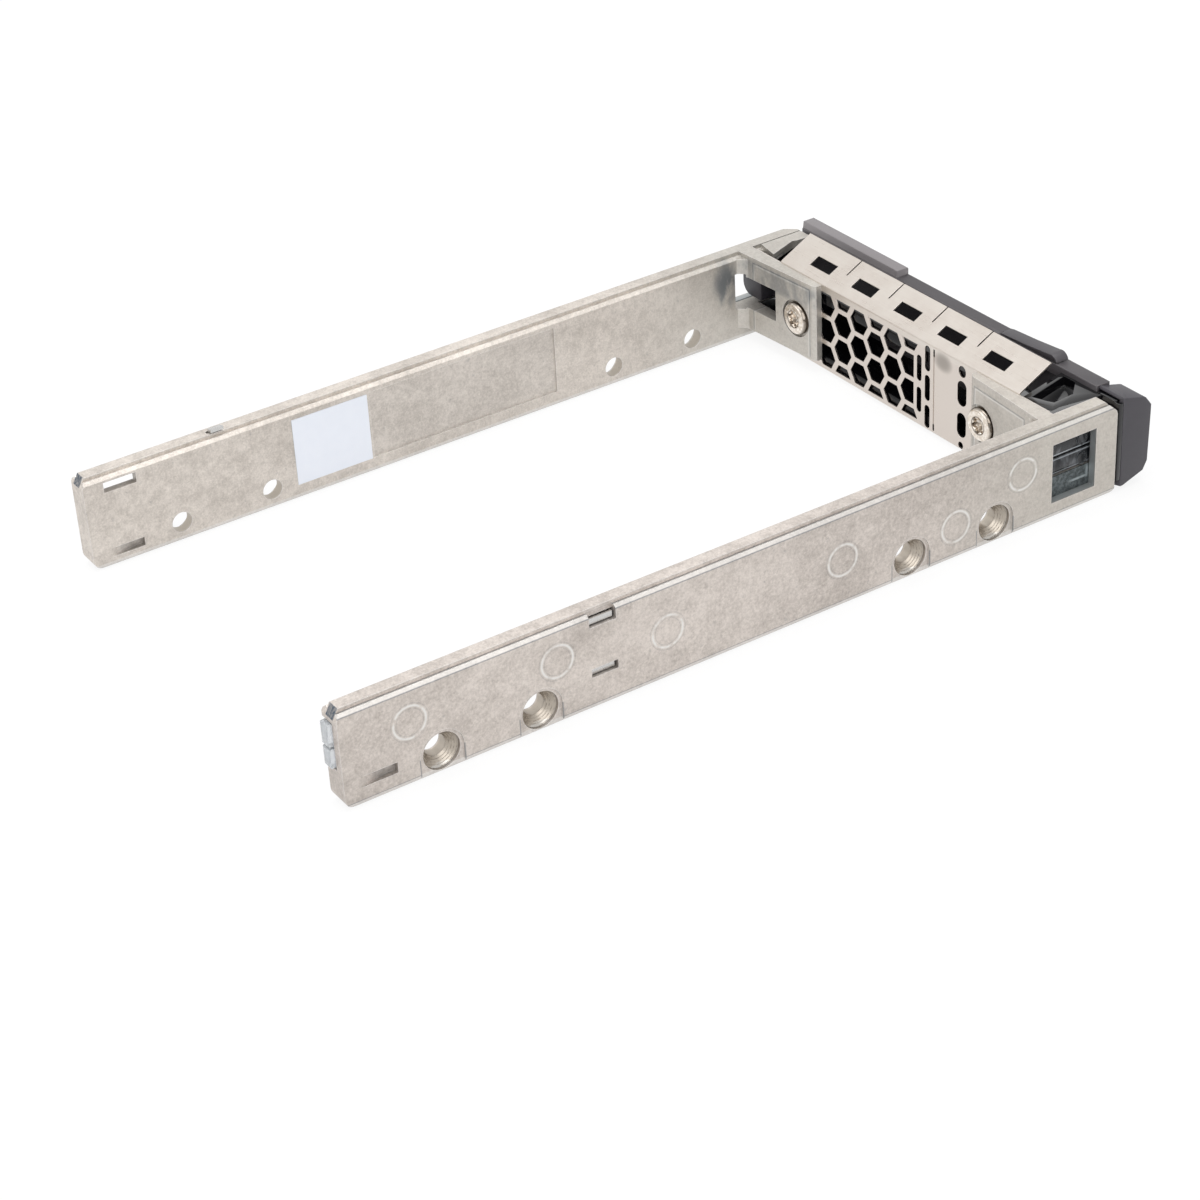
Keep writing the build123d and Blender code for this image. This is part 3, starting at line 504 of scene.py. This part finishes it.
# %% Nickel sheet finish
SHEET_DARK, SHEET_LIGHT = (0.645, 0.585, 0.53, 1), (0.705, 0.655, 0.60, 1)
WALL_SHADE_TONE, SPECK_AND_SHADE_TONE = (0.66, 0.595, 0.545, 1), (0.26, 0.235, 0.21, 1)
WALL_TOP = 14.3
DIMPLE_ACROSS, DIMPLE_HEIGHT = 27.2, 13.3
DIMPLE_REACH, DIMPLE_RISE = 2.5, 1.9
nickel = Finish("nickel_sheet", Metallic=1.0)
smudge = nickel.noise(5.0, 4.0, 0.65)
rolled = nickel.noise(0.16, 2.0, 0.5, (40, 1, 1))
specks = nickel.noise(0.5, 2.0, 0.6, seed=0.4).ramp(0.66, 0.8)
sheet_x, _, sheet_z = nickel.axes()
dimple = oval(sheet_x - OUTER_X / MM, sheet_z, (DIMPLE_ACROSS, DIMPLE_HEIGHT, DIMPLE_REACH, DIMPLE_RISE))
dimple = dimple.ramp(1.0, 0.0)
# Painted shade on the wall below the top band.
wall = sheet_z.ramp(WALL_TOP, WALL_TOP - 0.4)
sheet_tone = nickel.blend((smudge * 0.8 + rolled * 0.3).ramp(0.35, 0.75), SHEET_DARK, SHEET_LIGHT)
sheet_tone = nickel.blend(wall * (0.55 + smudge * 0.5), sheet_tone, WALL_SHADE_TONE)
# Dark specks, and the painted dark reflection in the dimple.
sheet_tone = nickel.blend((specks * 0.06 + dimple * 0.75).held(), sheet_tone, SPECK_AND_SHADE_TONE)
nickel.feed(Base_Color=sheet_tone, Roughness=0.22 + rolled * 0.08 + smudge * 0.06)
nickel.relief(rolled * 0.3 + smudge * 0.4 - dimple * 3.0, 0.005, 0.06)
shade(nickel, "emi_shield")
print("shield is nickel")

# %% [markdown]
# ## Dark mouldings
# Two plastics meet at the front. The frame behind the shield is a gloss black that swallows light, and
# the plate, the cap, the latch and the handle are a satin grey with a violet cast, spark eroded in the
# mould, so its grain is even and very fine.

# %% Gloss black
POCKET_EDGE = 16.0
gloss = Finish("gloss_black", Base_Color=(0.0035, 0.0034, 0.0042, 1), Specular_IOR_Level=0.16,
               Coat_Roughness=0.05, IOR=1.5)
ripple = gloss.noise(3.0, 2.0, 0.5)
scuff = gloss.noise(0.5, 4.0, 0.7, (1, 5, 1)).ramp(0.56, 0.78)
gloss_across = gloss.axes()[0] - OUTER_X / MM
gloss.feed(Roughness=0.06 + scuff * 0.2,
           Coat_Weight=gloss_across.ramp(POCKET_EDGE, POCKET_EDGE - 2.0) * 0.8)
gloss.relief(ripple, 0.012, 0.12)
print("the frame is glossy up to %.0f mm across" % POCKET_EDGE)

# %% Satin grey
HAZE_GAIN = 1.14
PAD_HEIGHT = 15.15


def satin_grey(name, base, light, raised=None):
    """A satin plastic with a painted highlight on its edges; a pad raised above the given height is
    lighter.
    """
    satin = Finish(name, IOR=1.5)
    eroded = satin.noise(0.2, 2.0, 0.6)
    haze = satin.noise(7.0, 3.0, 0.5)
    # The edge mask lays a painted highlight on every edge.
    edge = satin.edge_wear_and_highlight(0.35)
    hazy = tuple(c * HAZE_GAIN for c in base[:3]) + (1,)
    body = satin.blend(haze.ramp(0.3, 0.7), base, hazy)
    if raised:
        z = satin.axes()[2]
        body = satin.blend(z.ramp(raised - 0.05, raised + 0.05), body, light)
    satin.feed(Base_Color=satin.blend(edge * 0.65, body, light),
               Roughness=0.36 + eroded * 0.12 + haze * 0.06)
    satin.relief(eroded, 0.012, 0.28)
    return satin


cap_grey = satin_grey("cap_grey", (0.036, 0.033, 0.040, 1), (0.12, 0.115, 0.13, 1))
plate_grey = satin_grey("plate_grey", (0.052, 0.047, 0.051, 1), (0.20, 0.185, 0.19, 1), PAD_HEIGHT)
latch_grey = satin_grey("latch_grey", (0.046, 0.042, 0.047, 1), (0.17, 0.16, 0.17, 1))
print("mouldings have their finishes")

# %% [markdown]
# ## Small pieces
# The tab screws are bright nickel with painted shade in the recess and around the head. Springs, pin and
# clip are drawn steel and the inserts brass. The light pipes are clear with darker edges, and the carrier
# is a smoked plastic in which painted highlight lines and a painted shade line stand at fixed heights.

# %% Small metal pieces
SCREW_HEIGHT = 8.0
SCREW_DARK, SCREW_LIGHT = (0.70, 0.62, 0.53, 1), (0.88, 0.82, 0.75, 1)
SCREW_SHADE = (0.13, 0.105, 0.085, 1)
bright = Finish("bright_nickel", Metallic=1.0)
swirl = bright.noise(0.5, 3.0)
bright_tone = bright.blend(swirl.ramp(0.3, 0.7), SCREW_DARK, SCREW_LIGHT)
screw_x, _, screw_z = bright.axes()
screw_axes = []
for name in ("left_tab_screw", "right_tab_screw"):
    low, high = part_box(name)
    screw_axes.append(((low.x + high.x) / 2 / MM, SCREW_HEIGHT))
reach = to_nearest(screw_x, screw_z, screw_axes)
shade_ring = near(reach, 1.38, 0.16) * 0.75 + reach.ramp(2.3, 2.66) * 0.8 + reach.ramp(1.15, 0.6) * 0.35
bright.feed(Base_Color=bright.blend(shade_ring.held(), bright_tone, SCREW_SHADE),
            Roughness=0.09 + swirl * 0.12)
bright.relief(swirl, 0.006, 0.05)


def drawn_metal(name, grain_mm, dark, light, roughness, *nodes):
    """A plain metal between two tones for small pieces."""
    metal = Finish(name, Metallic=1.0)
    grain = metal.noise(grain_mm, 2.0)
    metal.feed(Base_Color=metal.blend(grain, dark, light), Roughness=roughness + grain * 0.15)
    shade(metal, *nodes)
    return metal


steel = drawn_metal("spring_steel", 0.3, (0.50, 0.50, 0.50, 1), (0.70, 0.69, 0.67, 1), 0.2,
                    "lever_pin", "lever_spring", "pipe_clip", "rail_spring")
drawn_metal("insert_brass", 0.4, (0.62, 0.45, 0.20, 1), (0.80, 0.63, 0.34, 1), 0.25,
            "left_screw_insert", "right_screw_insert")
print("small metal pieces have their finishes")

# %% Pipes, carrier and label
CARRIER_DARK, CARRIER_LIGHT = (0.006, 0.007, 0.009, 1), (0.085, 0.09, 0.098, 1)
CARRIER_LIT, CARRIER_GAP = (0.40, 0.43, 0.46, 1), (0.001, 0.001, 0.001, 1)
# The carrier's painted highlight lines: height, half width and strength.
LIT_LINES = [(8.84, 0.13, 1.0), (8.1, 0.13, 0.7), (5.95, 0.16, 0.6)]
# Height of a painted shade line in the recessed gap between the bars.
GAP_HEIGHT = 8.48
clear = Finish("clear_pipe", Transmission_Weight=0.6, IOR=1.49)
flow = clear.noise(1.2, 3.0)
pipe_tone = clear.blend(flow, (0.72, 0.75, 0.78, 1), (0.90, 0.92, 0.94, 1))
clear.feed(Base_Color=clear.blend(clear.edge_wear_and_highlight(0.3), pipe_tone, (0.42, 0.45, 0.49, 1)),
           Roughness=0.16 + flow * 0.14)
clear.relief(flow, 0.02, 0.1)

smoke = Finish("smoked_carrier", IOR=1.5, Specular_IOR_Level=0.25, Coat_Weight=0.25, Coat_Roughness=0.08)
drift = smoke.noise(1.6, 2.0, 0.5, (1, 1, 2))
smoke_z = smoke.axes()[2]
smoke_tone = smoke.blend(drift.ramp(0.42, 0.66), CARRIER_DARK, CARRIER_LIGHT)
lit = sum(near(smoke_z, height, half) * strength for height, half, strength in LIT_LINES).held()
# Painted highlights on every edge of the carrier as well.
lit = (lit * 0.7 + smoke.edge_wear_and_highlight(0.1) * 0.45).held()
smoke_tone = smoke.blend(lit, smoke_tone, CARRIER_LIT)
# Painted shade along the gap between the bars.
smoke.feed(Base_Color=smoke.blend(near(smoke_z, GAP_HEIGHT, 0.2), smoke_tone, CARRIER_GAP),
           Roughness=0.1 + drift * 0.2)
smoke.relief(drift, 0.05, 0.08)

label = Finish("white_label", IOR=1.45)
paper = label.noise(1.6, 3.0)
fibre = label.noise(0.25, 2.0)
label.feed(Base_Color=label.blend(paper, (0.66, 0.69, 0.755, 1), (0.70, 0.725, 0.78, 1)),
           Roughness=0.34 + paper * 0.12)
label.relief(fibre * 0.5 + paper * 0.5, 0.008, 0.05)
shade(label, "serial_label")
print("pipes, carrier and label have their finishes")

# %% [markdown]
# ## Rounded edges on the mouldings
# A moulded edge is never sharp: its small radius draws the thin bright line that makes plastic look like
# plastic. The solids keep their edges sharp for the collision, so each moulding is dressed with a copy
# of its own mesh. The copy's loose triangles are merged and joined back into flat faces first, because
# a Bevel modifier only follows edges that two faces share, and then it rounds every edge sharper than
# the given angle. The same helper serves the light pipes.

# %% Softened copies
MERGE_DISTANCE = 2e-6
FLAT_ANGLE, EDGE_ANGLE = math.radians(1.0), math.radians(32.0)


def softened(node_name, radius_mm, segments, body, finish):
    """A copy of a CAD node with rounded edges that stands for it."""
    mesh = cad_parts[node_name].data.copy()
    build = bmesh.new()
    build.from_mesh(mesh)
    bmesh.ops.remove_doubles(build, verts=build.verts, dist=MERGE_DISTANCE)
    bmesh.ops.dissolve_limit(build, angle_limit=FLAT_ANGLE, verts=build.verts, edges=build.edges)
    build.to_mesh(mesh)
    build.free()
    draft = linked(node_name + "_draft", mesh)
    bevel = draft.modifiers.new("edges", "BEVEL")
    bevel.width = radius_mm * MM
    bevel.segments = segments
    bevel.limit_method = "ANGLE"
    bevel.angle_limit = EDGE_ANGLE
    bevel.use_clamp_overlap = True
    bevel.miter_outer = "MITER_ARC"
    graph = bpy.context.evaluated_depsgraph_get()
    final = bpy.data.meshes.new_from_object(draft.evaluated_get(graph))
    bpy.data.objects.remove(draft)
    final.name = node_name + "_soft"
    smoothed(final, 40)
    final.materials.clear()
    final.materials.append(finish.material)
    piece = linked(node_name + "_soft", final)
    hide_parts(node_name)
    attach(piece, body)
    print(node_name, "has", len(final.polygons), "faces")
    return piece


# Each moulding: its node, edge radius in millimetres, steps, body, finish and slot.
SOFT = [("bezel_frame", 0.1, 2, "caddy", gloss, "gloss_plastic"),
        ("led_end_cap", 0.32, 3, "caddy", cap_grey, "grey_plastic"),
        ("bezel_plate", 0.12, 2, "caddy", plate_grey, "grey_plastic"),
        ("release_latch", 0.14, 2, "latch", latch_grey, "dark_plastic"),
        ("lever_handle", 0.18, 2, "lever", cap_grey, "dark_plastic"),
        ("light_pipe_upper", 0.3, 3, "caddy", clear, "clear_pipe"),
        ("light_pipe_lower", 0.3, 3, "caddy", clear, "clear_pipe")]
for node_name, radius, steps, body_name, finish, slot_name in SOFT:
    softened(node_name, radius, steps, body_name, finish)

# %% [markdown]
# ## Latch spring
# The compression spring behind the latch rests against a wall of the frame and gets shorter as the latch
# slides towards it. A rigid copy would run through the latch; the copy here is a plain rigid steel copy of
# its mesh that stays with the caddy.

# %% Latch spring
coil = linked("latch_coil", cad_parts["latch_spring"].data.copy())
coil.data.materials.clear()
coil.data.materials.append(steel.material)
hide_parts("latch_spring")
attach(coil, "caddy")
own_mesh(coil)

# %% [markdown]
# ## Tab screws
# Each tab is held by a pan head screw with a six lobed recess. A lathe alone can't give the lobes, so the
# mesh is a stack of rings that all have the same number of points: round for the head and the shank,
# and waved for the wall of the recess. Faces then join ring to ring, and no boolean is needed.

# %% Screws
SCREW_STEPS = 72
LOBES, LOBE_DEPTH = 6, 0.17
HEAD_HEIGHT, HEAD_ROUND = 1.1, 0.62
THREAD_PITCH, THREAD_ROOT, THREAD_CREST = 0.5, 1.22, 1.49


def ring_stack(name, rings):
    """A closed skin over rings given as (radius, height, share of the lobes), from outside to centre."""
    build = bmesh.new()
    loops = []
    for radius, height, share in rings:
        loop = []
        for step in range(SCREW_STEPS):
            turn_angle = 2 * math.pi * step / SCREW_STEPS
            reach = radius * (1 + share * LOBE_DEPTH * math.cos(LOBES * turn_angle))
            point = (reach * math.cos(turn_angle), reach * math.sin(turn_angle), height)
            loop.append(build.verts.new(point))
        loops.append(loop)
    for lower, upper in zip(loops, loops[1:]):
        for step in range(SCREW_STEPS):
            after = (step + 1) % SCREW_STEPS
            build.faces.new((lower[step], lower[after], upper[after], upper[step]))
    for loop, flip in ((loops[0], True), (loops[-1], False)):
        middle = build.verts.new((0, 0, sum(v.co.z for v in loop) / len(loop)))
        for step in range(SCREW_STEPS):
            corner = (loop[step], loop[(step + 1) % SCREW_STEPS], middle)
            build.faces.new(corner[::-1] if flip else corner)
    bmesh.ops.recalc_face_normals(build, faces=build.faces)
    mesh = bpy.data.meshes.new(name)
    build.to_mesh(mesh)
    build.free()
    return mesh


def screw_rings(head_radius, shank):
    """Rings from the shank's tip up to the head and down into the recess, in millimetres."""
    rings = [(1.0, -shank, 0), (1.25, -shank + 0.25, 0)]
    for turn_number in range(int((shank - 0.9) / THREAD_PITCH)):
        low = -shank + 0.4 + turn_number * THREAD_PITCH
        rings += [(THREAD_ROOT, low, 0), (THREAD_CREST, low + 0.2, 0),
                  (THREAD_CREST, low + 0.26, 0), (THREAD_ROOT, low + 0.46, 0)]
    rings += [(1.4, -0.25, 0), (1.4, 0.0, 0), (head_radius - 0.08, 0.0, 0), (head_radius, 0.08, 0),
              (head_radius, HEAD_HEIGHT * 0.42, 0)]
    for step in range(1, 6):
        sweep = math.radians(90 * step / 5)
        rings.append((head_radius - HEAD_ROUND * (1 - math.cos(sweep)),
                      HEAD_HEIGHT * (0.42 + 0.58 * math.sin(sweep)), 0))
    recess = [(1.42, 0.0, 0), (1.3, 0.05, 1.0), (1.22, 0.12, 1.0), (1.16, 0.62, 1.0),
              (0.55, 0.75, 0.4), (0.3, 0.72, 0)]
    return rings + [(radius, HEAD_HEIGHT - sunk, share) for radius, sunk, share in recess]


def tab_screw(node_name, twist):
    low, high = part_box(node_name)
    head_radius = (high.x - low.x) / 2 / MM
    shank = (high.y - low.y) / MM - HEAD_HEIGHT
    mesh = ring_stack(node_name + "_detail", screw_rings(head_radius, shank))
    seat_y = high.y / MM - HEAD_HEIGHT
    axis = Matrix.Translation(((low.x + high.x) / 2, seat_y * MM, SCREW_HEIGHT * MM))
    mesh.transform(axis @ Matrix.Rotation(math.radians(-90), 4, "X") @ Matrix.Rotation(twist, 4, "Z")
                   @ Matrix.Diagonal((MM, MM, MM, 1)))
    smoothed(mesh, 38)
    mesh.materials.append(bright.material)
    piece = linked(node_name + "_detail", mesh)
    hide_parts(node_name)
    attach(piece, "caddy")
    print(node_name, "head is %.1f mm across" % (2 * head_radius))


tab_screw("left_tab_screw", 0.3)
tab_screw("right_tab_screw", -0.2)

# %% [markdown]
# ## Carrier in the front window
# Behind the window of the near rail two dark bars guide the light pipes. Each bar bulges towards the
# window, which gives it one long highlight, and carries a small stud with a raised rim. A bar is an
# arched outline pushed along the rail, and the stud is another stack of rings.

# %% Carrier
ARC_STEPS, STUD_STEPS = 10, 32
BAR_GAP_LOW, BAR_GAP_HIGH = 8.35, 8.6
STUDS, STUD_RADIUS = [(123.5, 10.1), (123.6, 6.9)], 0.95
carrier_low, carrier_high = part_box("pipe_holder")
face_x, back_x = carrier_low.x / MM + 0.55, carrier_high.x / MM
rear_y, front_y = carrier_high.y / MM, carrier_low.y / MM
foot_z, head_z = carrier_low.z / MM, carrier_high.z / MM
# Each bar: low, high, how far its face is set back, and its bulge.
BARS = [(foot_z, BAR_GAP_LOW, 0.0, 0.3), (BAR_GAP_HIGH, head_z, 0.0, 0.34),
        (BAR_GAP_LOW - 0.05, BAR_GAP_HIGH + 0.05, 0.6, 0.0)]


def arched_bar(build, z_low, z_high, set_back, bulge):
    """A bar along Y whose side towards -X is an arc between two heights, all in millimetres."""
    x_face = face_x + set_back
    outline = [(back_x, z_low), (x_face, z_low)]
    for step in range(1, ARC_STEPS):
        share = step / ARC_STEPS
        outline.append((x_face - bulge * math.sin(math.pi * share), z_low + (z_high - z_low) * share))
    outline += [(x_face, z_high), (back_x, z_high)]
    ends = []
    for y in (rear_y, front_y):
        ends.append([build.verts.new((x * MM, y * MM, z * MM)) for x, z in outline])
    count = len(outline)
    for step in range(count):
        after = (step + 1) % count
        build.faces.new((ends[0][step], ends[0][after], ends[1][after], ends[1][step]))
    build.faces.new(ends[0])
    build.faces.new(ends[1])


def stud(build, forward, height, x_top, x_foot):
    """A round stud towards -X with a raised rim."""
    rings = [(STUD_RADIUS, x_foot), (STUD_RADIUS, x_top + 0.04), (STUD_RADIUS - 0.06, x_top),
             (STUD_RADIUS - 0.2, x_top), (STUD_RADIUS - 0.27, x_top + 0.14), (0.15, x_top + 0.16)]
    loops = []
    y = REAR_Y / MM - forward
    for reach, x in rings:
        loop = []
        for step in range(STUD_STEPS):
            angle = 2 * math.pi * step / STUD_STEPS
            point = (x * MM, (y + reach * math.cos(angle)) * MM, (height + reach * math.sin(angle)) * MM)
            loop.append(build.verts.new(point))
        loops.append(loop)
    for lower, upper in zip(loops, loops[1:]):
        for step in range(STUD_STEPS):
            after = (step + 1) % STUD_STEPS
            build.faces.new((lower[step], lower[after], upper[after], upper[step]))
    build.faces.new(loops[0])
    build.faces.new(loops[-1])


build = bmesh.new()
for bar in BARS:
    arched_bar(build, *bar)
for forward, height in STUDS:
    stud(build, forward, height, carrier_low.x / MM + 0.02, face_x + 0.3)
bmesh.ops.recalc_face_normals(build, faces=build.faces)
carrier_mesh = bpy.data.meshes.new("pipe_carrier")
build.to_mesh(carrier_mesh)
build.free()
smoothed(carrier_mesh, 35)
carrier_mesh.materials.append(smoke.material)
carrier = linked("pipe_carrier", carrier_mesh)
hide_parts("pipe_holder")
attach(carrier, "caddy")
print("carrier is %.1f mm long" % (rear_y - front_y))

# %% [markdown]
# ## Turned seats
# The countersinks for the drive screws are cut after casting, and the cutter's feed leaves a fine spiral
# step on each cone. The seats are alike, so Geometry Nodes make them: a spiral curve swept with a small
# round profile is put on each point, turned towards the rail's outer face, and made real. Its named
# inputs are the cone's two radii, its depth, the number of turns, the step's size and the way it faces.

# %% Spiral steps
PATH_STEPS, PROFILE_STEPS = 40, 6


def spiral_tree(material):
    """Geometry Nodes: the same swept spiral on every vertex of the mesh that carries the modifier."""
    tree = bpy.data.node_groups.new("turned_seats", "GeometryNodeTree")
    tree.interface.new_socket("Geometry", in_out="INPUT", socket_type="NodeSocketGeometry")
    for title in ("Wide radius", "Narrow radius", "Depth", "Turns", "Step size", "Facing"):
        tree.interface.new_socket(title, in_out="INPUT", socket_type="NodeSocketFloat")
    tree.interface.new_socket("Geometry", in_out="OUTPUT", socket_type="NodeSocketGeometry")

    def add(kind, links=(), **values):
        node = tree.nodes.new(kind)
        for key, value in values.items():
            node.inputs[key.replace("_", " ")].default_value = value
        for key, socket in links:
            tree.links.new(socket, node.inputs[key])
        return node

    group_in = tree.nodes.new("NodeGroupInput")
    group_out = tree.nodes.new("NodeGroupOutput")
    path = add("GeometryNodeCurveSpiral", [("Rotations", group_in.outputs["Turns"]),
                                           ("Start Radius", group_in.outputs["Wide radius"]),
                                           ("End Radius", group_in.outputs["Narrow radius"]),
                                           ("Height", group_in.outputs["Depth"])], Resolution=PATH_STEPS)
    profile = add("GeometryNodeCurvePrimitiveCircle", [("Radius", group_in.outputs["Step size"])],
                  Resolution=PROFILE_STEPS)
    swept = add("GeometryNodeCurveToMesh", [("Curve", path.outputs["Curve"]),
                                            ("Profile Curve", profile.outputs["Curve"])])
    smooth = add("GeometryNodeSetShadeSmooth", [("Geometry", swept.outputs["Mesh"])])
    facing = add("ShaderNodeCombineXYZ", [("Y", group_in.outputs["Facing"])])
    marks = add("GeometryNodeInstanceOnPoints", [("Points", group_in.outputs["Geometry"]),
                                                 ("Instance", smooth.outputs["Geometry"]),
                                                 ("Rotation", facing.outputs["Vector"])])
    solid = add("GeometryNodeRealizeInstances", [("Geometry", marks.outputs["Instances"])])
    painted = add("GeometryNodeSetMaterial", [("Geometry", solid.outputs["Geometry"])], Material=material)
    tree.links.new(painted.outputs["Geometry"], group_out.inputs[0])
    return tree


def grown(name, points, tree, **inputs):
    """A plain mesh from a Geometry Nodes tree on a set of points."""
    mesh = bpy.data.meshes.new(name + "_points")
    mesh.from_pydata(points, [], [])
    point_object = linked(name + "_points", mesh)
    modifier = point_object.modifiers.new("nodes", "NODES")
    modifier.node_group = tree
    for item in tree.interface.items_tree:
        key = item.name.replace(" ", "_").lower()
        if item.in_out == "INPUT" and key in inputs:
            modifier[item.identifier] = inputs[key]
    graph = bpy.context.evaluated_depsgraph_get()
    final = bpy.data.meshes.new_from_object(point_object.evaluated_get(graph))
    bpy.data.objects.remove(point_object)
    final.name = name
    return linked(name, final)


print("the spiral has %d steps a turn" % PATH_STEPS)

# %% Seats on both rails
SEAT_TOP = 0.84
CUT_DARK, CUT_LIGHT = (0.30, 0.26, 0.22, 1), (0.62, 0.57, 0.50, 1)
cut_metal = Finish("cut_metal", Metallic=0.9)
cut_grain = cut_metal.noise(0.5, 3.0)
cut_metal.feed(Base_Color=cut_metal.blend(cut_grain.ramp(0.35, 0.65), CUT_DARK, CUT_LIGHT),
               Roughness=0.3 + cut_grain * 0.15)
seat_tree = spiral_tree(cut_metal.material)
for side, outward, outer_x in (("left", -1, OUTER_X), ("right", 1, right_high.x)):
    seat_x = outer_x - outward * SEAT_TOP * MM
    seats = [(seat_x, place(0, forward, 0).y, height * MM) for forward, height in DRIVE_SCREWS]
    steps = grown(side + "_turned_seats", seats, seat_tree, wide_radius=2.74 * MM, narrow_radius=1.68 * MM,
                  depth=1.06 * MM, turns=4.0, step_size=0.045 * MM, facing=math.radians(-90 * outward))
    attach(steps, "caddy")
    print(side, "rail:", len(seats), "turned seats,", len(steps.data.polygons), "faces")

# %% [markdown]
# ## Floor and light
# The photograph has a white ground and almost no shadow. The floor is a matt white sheet, and for the
# rays that see the background it glows white as well, so the ground stays white without more light on
# the metal. The room is white to the same rays. To all others it is a soft light that grows from the
# bezel's side to the rear, and three large lamps give the rails their gentle falloff.

# %% Floor
FLOOR_HALF, FLOOR_DROP = 4.0, 0.0002
FLOOR_WHITE, GLOW_SHARE = 0.92, 0.86


def background_rays(tree):
    """1 for rays that see the background: the camera's own, and those off metal or through glass."""
    rays = tree.nodes.new("ShaderNodeLightPath")
    seen = Signal(tree, rays.outputs["Is Camera Ray"])
    for kind in ("Is Glossy Ray", "Is Transmission Ray"):
        seen = seen.most(Signal(tree, rays.outputs[kind]))
    return seen


corners = [(-FLOOR_HALF, -FLOOR_HALF, 0), (FLOOR_HALF, -FLOOR_HALF, 0),
           (FLOOR_HALF, FLOOR_HALF, 0), (-FLOOR_HALF, FLOOR_HALF, 0)]
floor_mesh = bpy.data.meshes.new("floor")
floor_mesh.from_pydata(corners, [], [(0, 1, 2, 3)])
floor = linked("floor", floor_mesh)
floor.location.z = -FLOOR_DROP
ground = Finish("ground")
ground.tree.nodes.remove(ground.shader)
matt = ground.node("ShaderNodeBsdfDiffuse", None, Color=grey(FLOOR_WHITE))
glow = ground.node("ShaderNodeEmission", None, Color=grey(1.0), Strength=1.0)
mixed = ground.node("ShaderNodeMixShader", None, s0=background_rays(ground.tree) * GLOW_SHARE,
                    s1=matt.outputs[0], s2=glow.outputs[0])
ground.tree.links.new(mixed.outputs[0], ground.output.inputs[0])
floor_mesh.materials.append(ground.material)
print("floor is %.0f m wide" % (2 * FLOOR_HALF))

# %% World
# The soft light's strength grows from one level to the other over this range of the ray's Y.
SIDE_RANGE, SIDE_LIGHT = (-0.5, 0.25), (0.42, 0.86)
world = bpy.data.worlds.new("studio")
bpy.context.scene.world = world
world.use_nodes = True
tree = world.node_tree
tree.nodes.clear()
world_out = tree.nodes.new("ShaderNodeOutputWorld")
mix = tree.nodes.new("ShaderNodeMixShader")
ambient = tree.nodes.new("ShaderNodeBackground")
ambient.inputs[0].default_value = grey(1.0)
sky = tree.nodes.new("ShaderNodeTexCoord")
sides = tree.nodes.new("ShaderNodeSeparateXYZ")
glow_range = tree.nodes.new("ShaderNodeMapRange")
glow_range.interpolation_type = "SMOOTHSTEP"
for number, value in enumerate(SIDE_RANGE + SIDE_LIGHT, start=1):
    glow_range.inputs[number].default_value = value
tree.links.new(sky.outputs["Generated"], sides.inputs[0])
tree.links.new(sides.outputs["Y"], glow_range.inputs[0])
tree.links.new(glow_range.outputs[0], ambient.inputs[1])
backdrop = tree.nodes.new("ShaderNodeBackground")
backdrop.inputs[0].default_value = grey(1.0)
backdrop.inputs[1].default_value = 1.0
tree.links.new(background_rays(tree).socket, mix.inputs[0])
tree.links.new(ambient.outputs[0], mix.inputs[1])
tree.links.new(backdrop.outputs[0], mix.inputs[2])
tree.links.new(mix.outputs[0], world_out.inputs[0])
print("soft light from %.2f to %.2f" % SIDE_LIGHT)


# %% Lamps
def lamp(name, where, size, power):
    """A square lamp of this size in metres that looks at the middle of the part."""
    data = bpy.data.lights.new(name, "AREA")
    data.shape = "SQUARE"
    data.size = size
    data.energy = power
    obj = linked(name, data)
    obj.location = where
    obj.rotation_euler = (-Vector(where)).to_track_quat("-Z", "Y").to_euler()


lamp("overhead", (0.05, -0.1, 0.9), 0.7, 5.0)
lamp("left_side", (-0.8, 0.2, 0.45), 0.8, 3.0)
lamp("rear", (0.2, 0.8, 0.6), 1.0, 2.0)
bpy.context.scene.view_settings.view_transform = "Standard"
print("three lamps are lit")
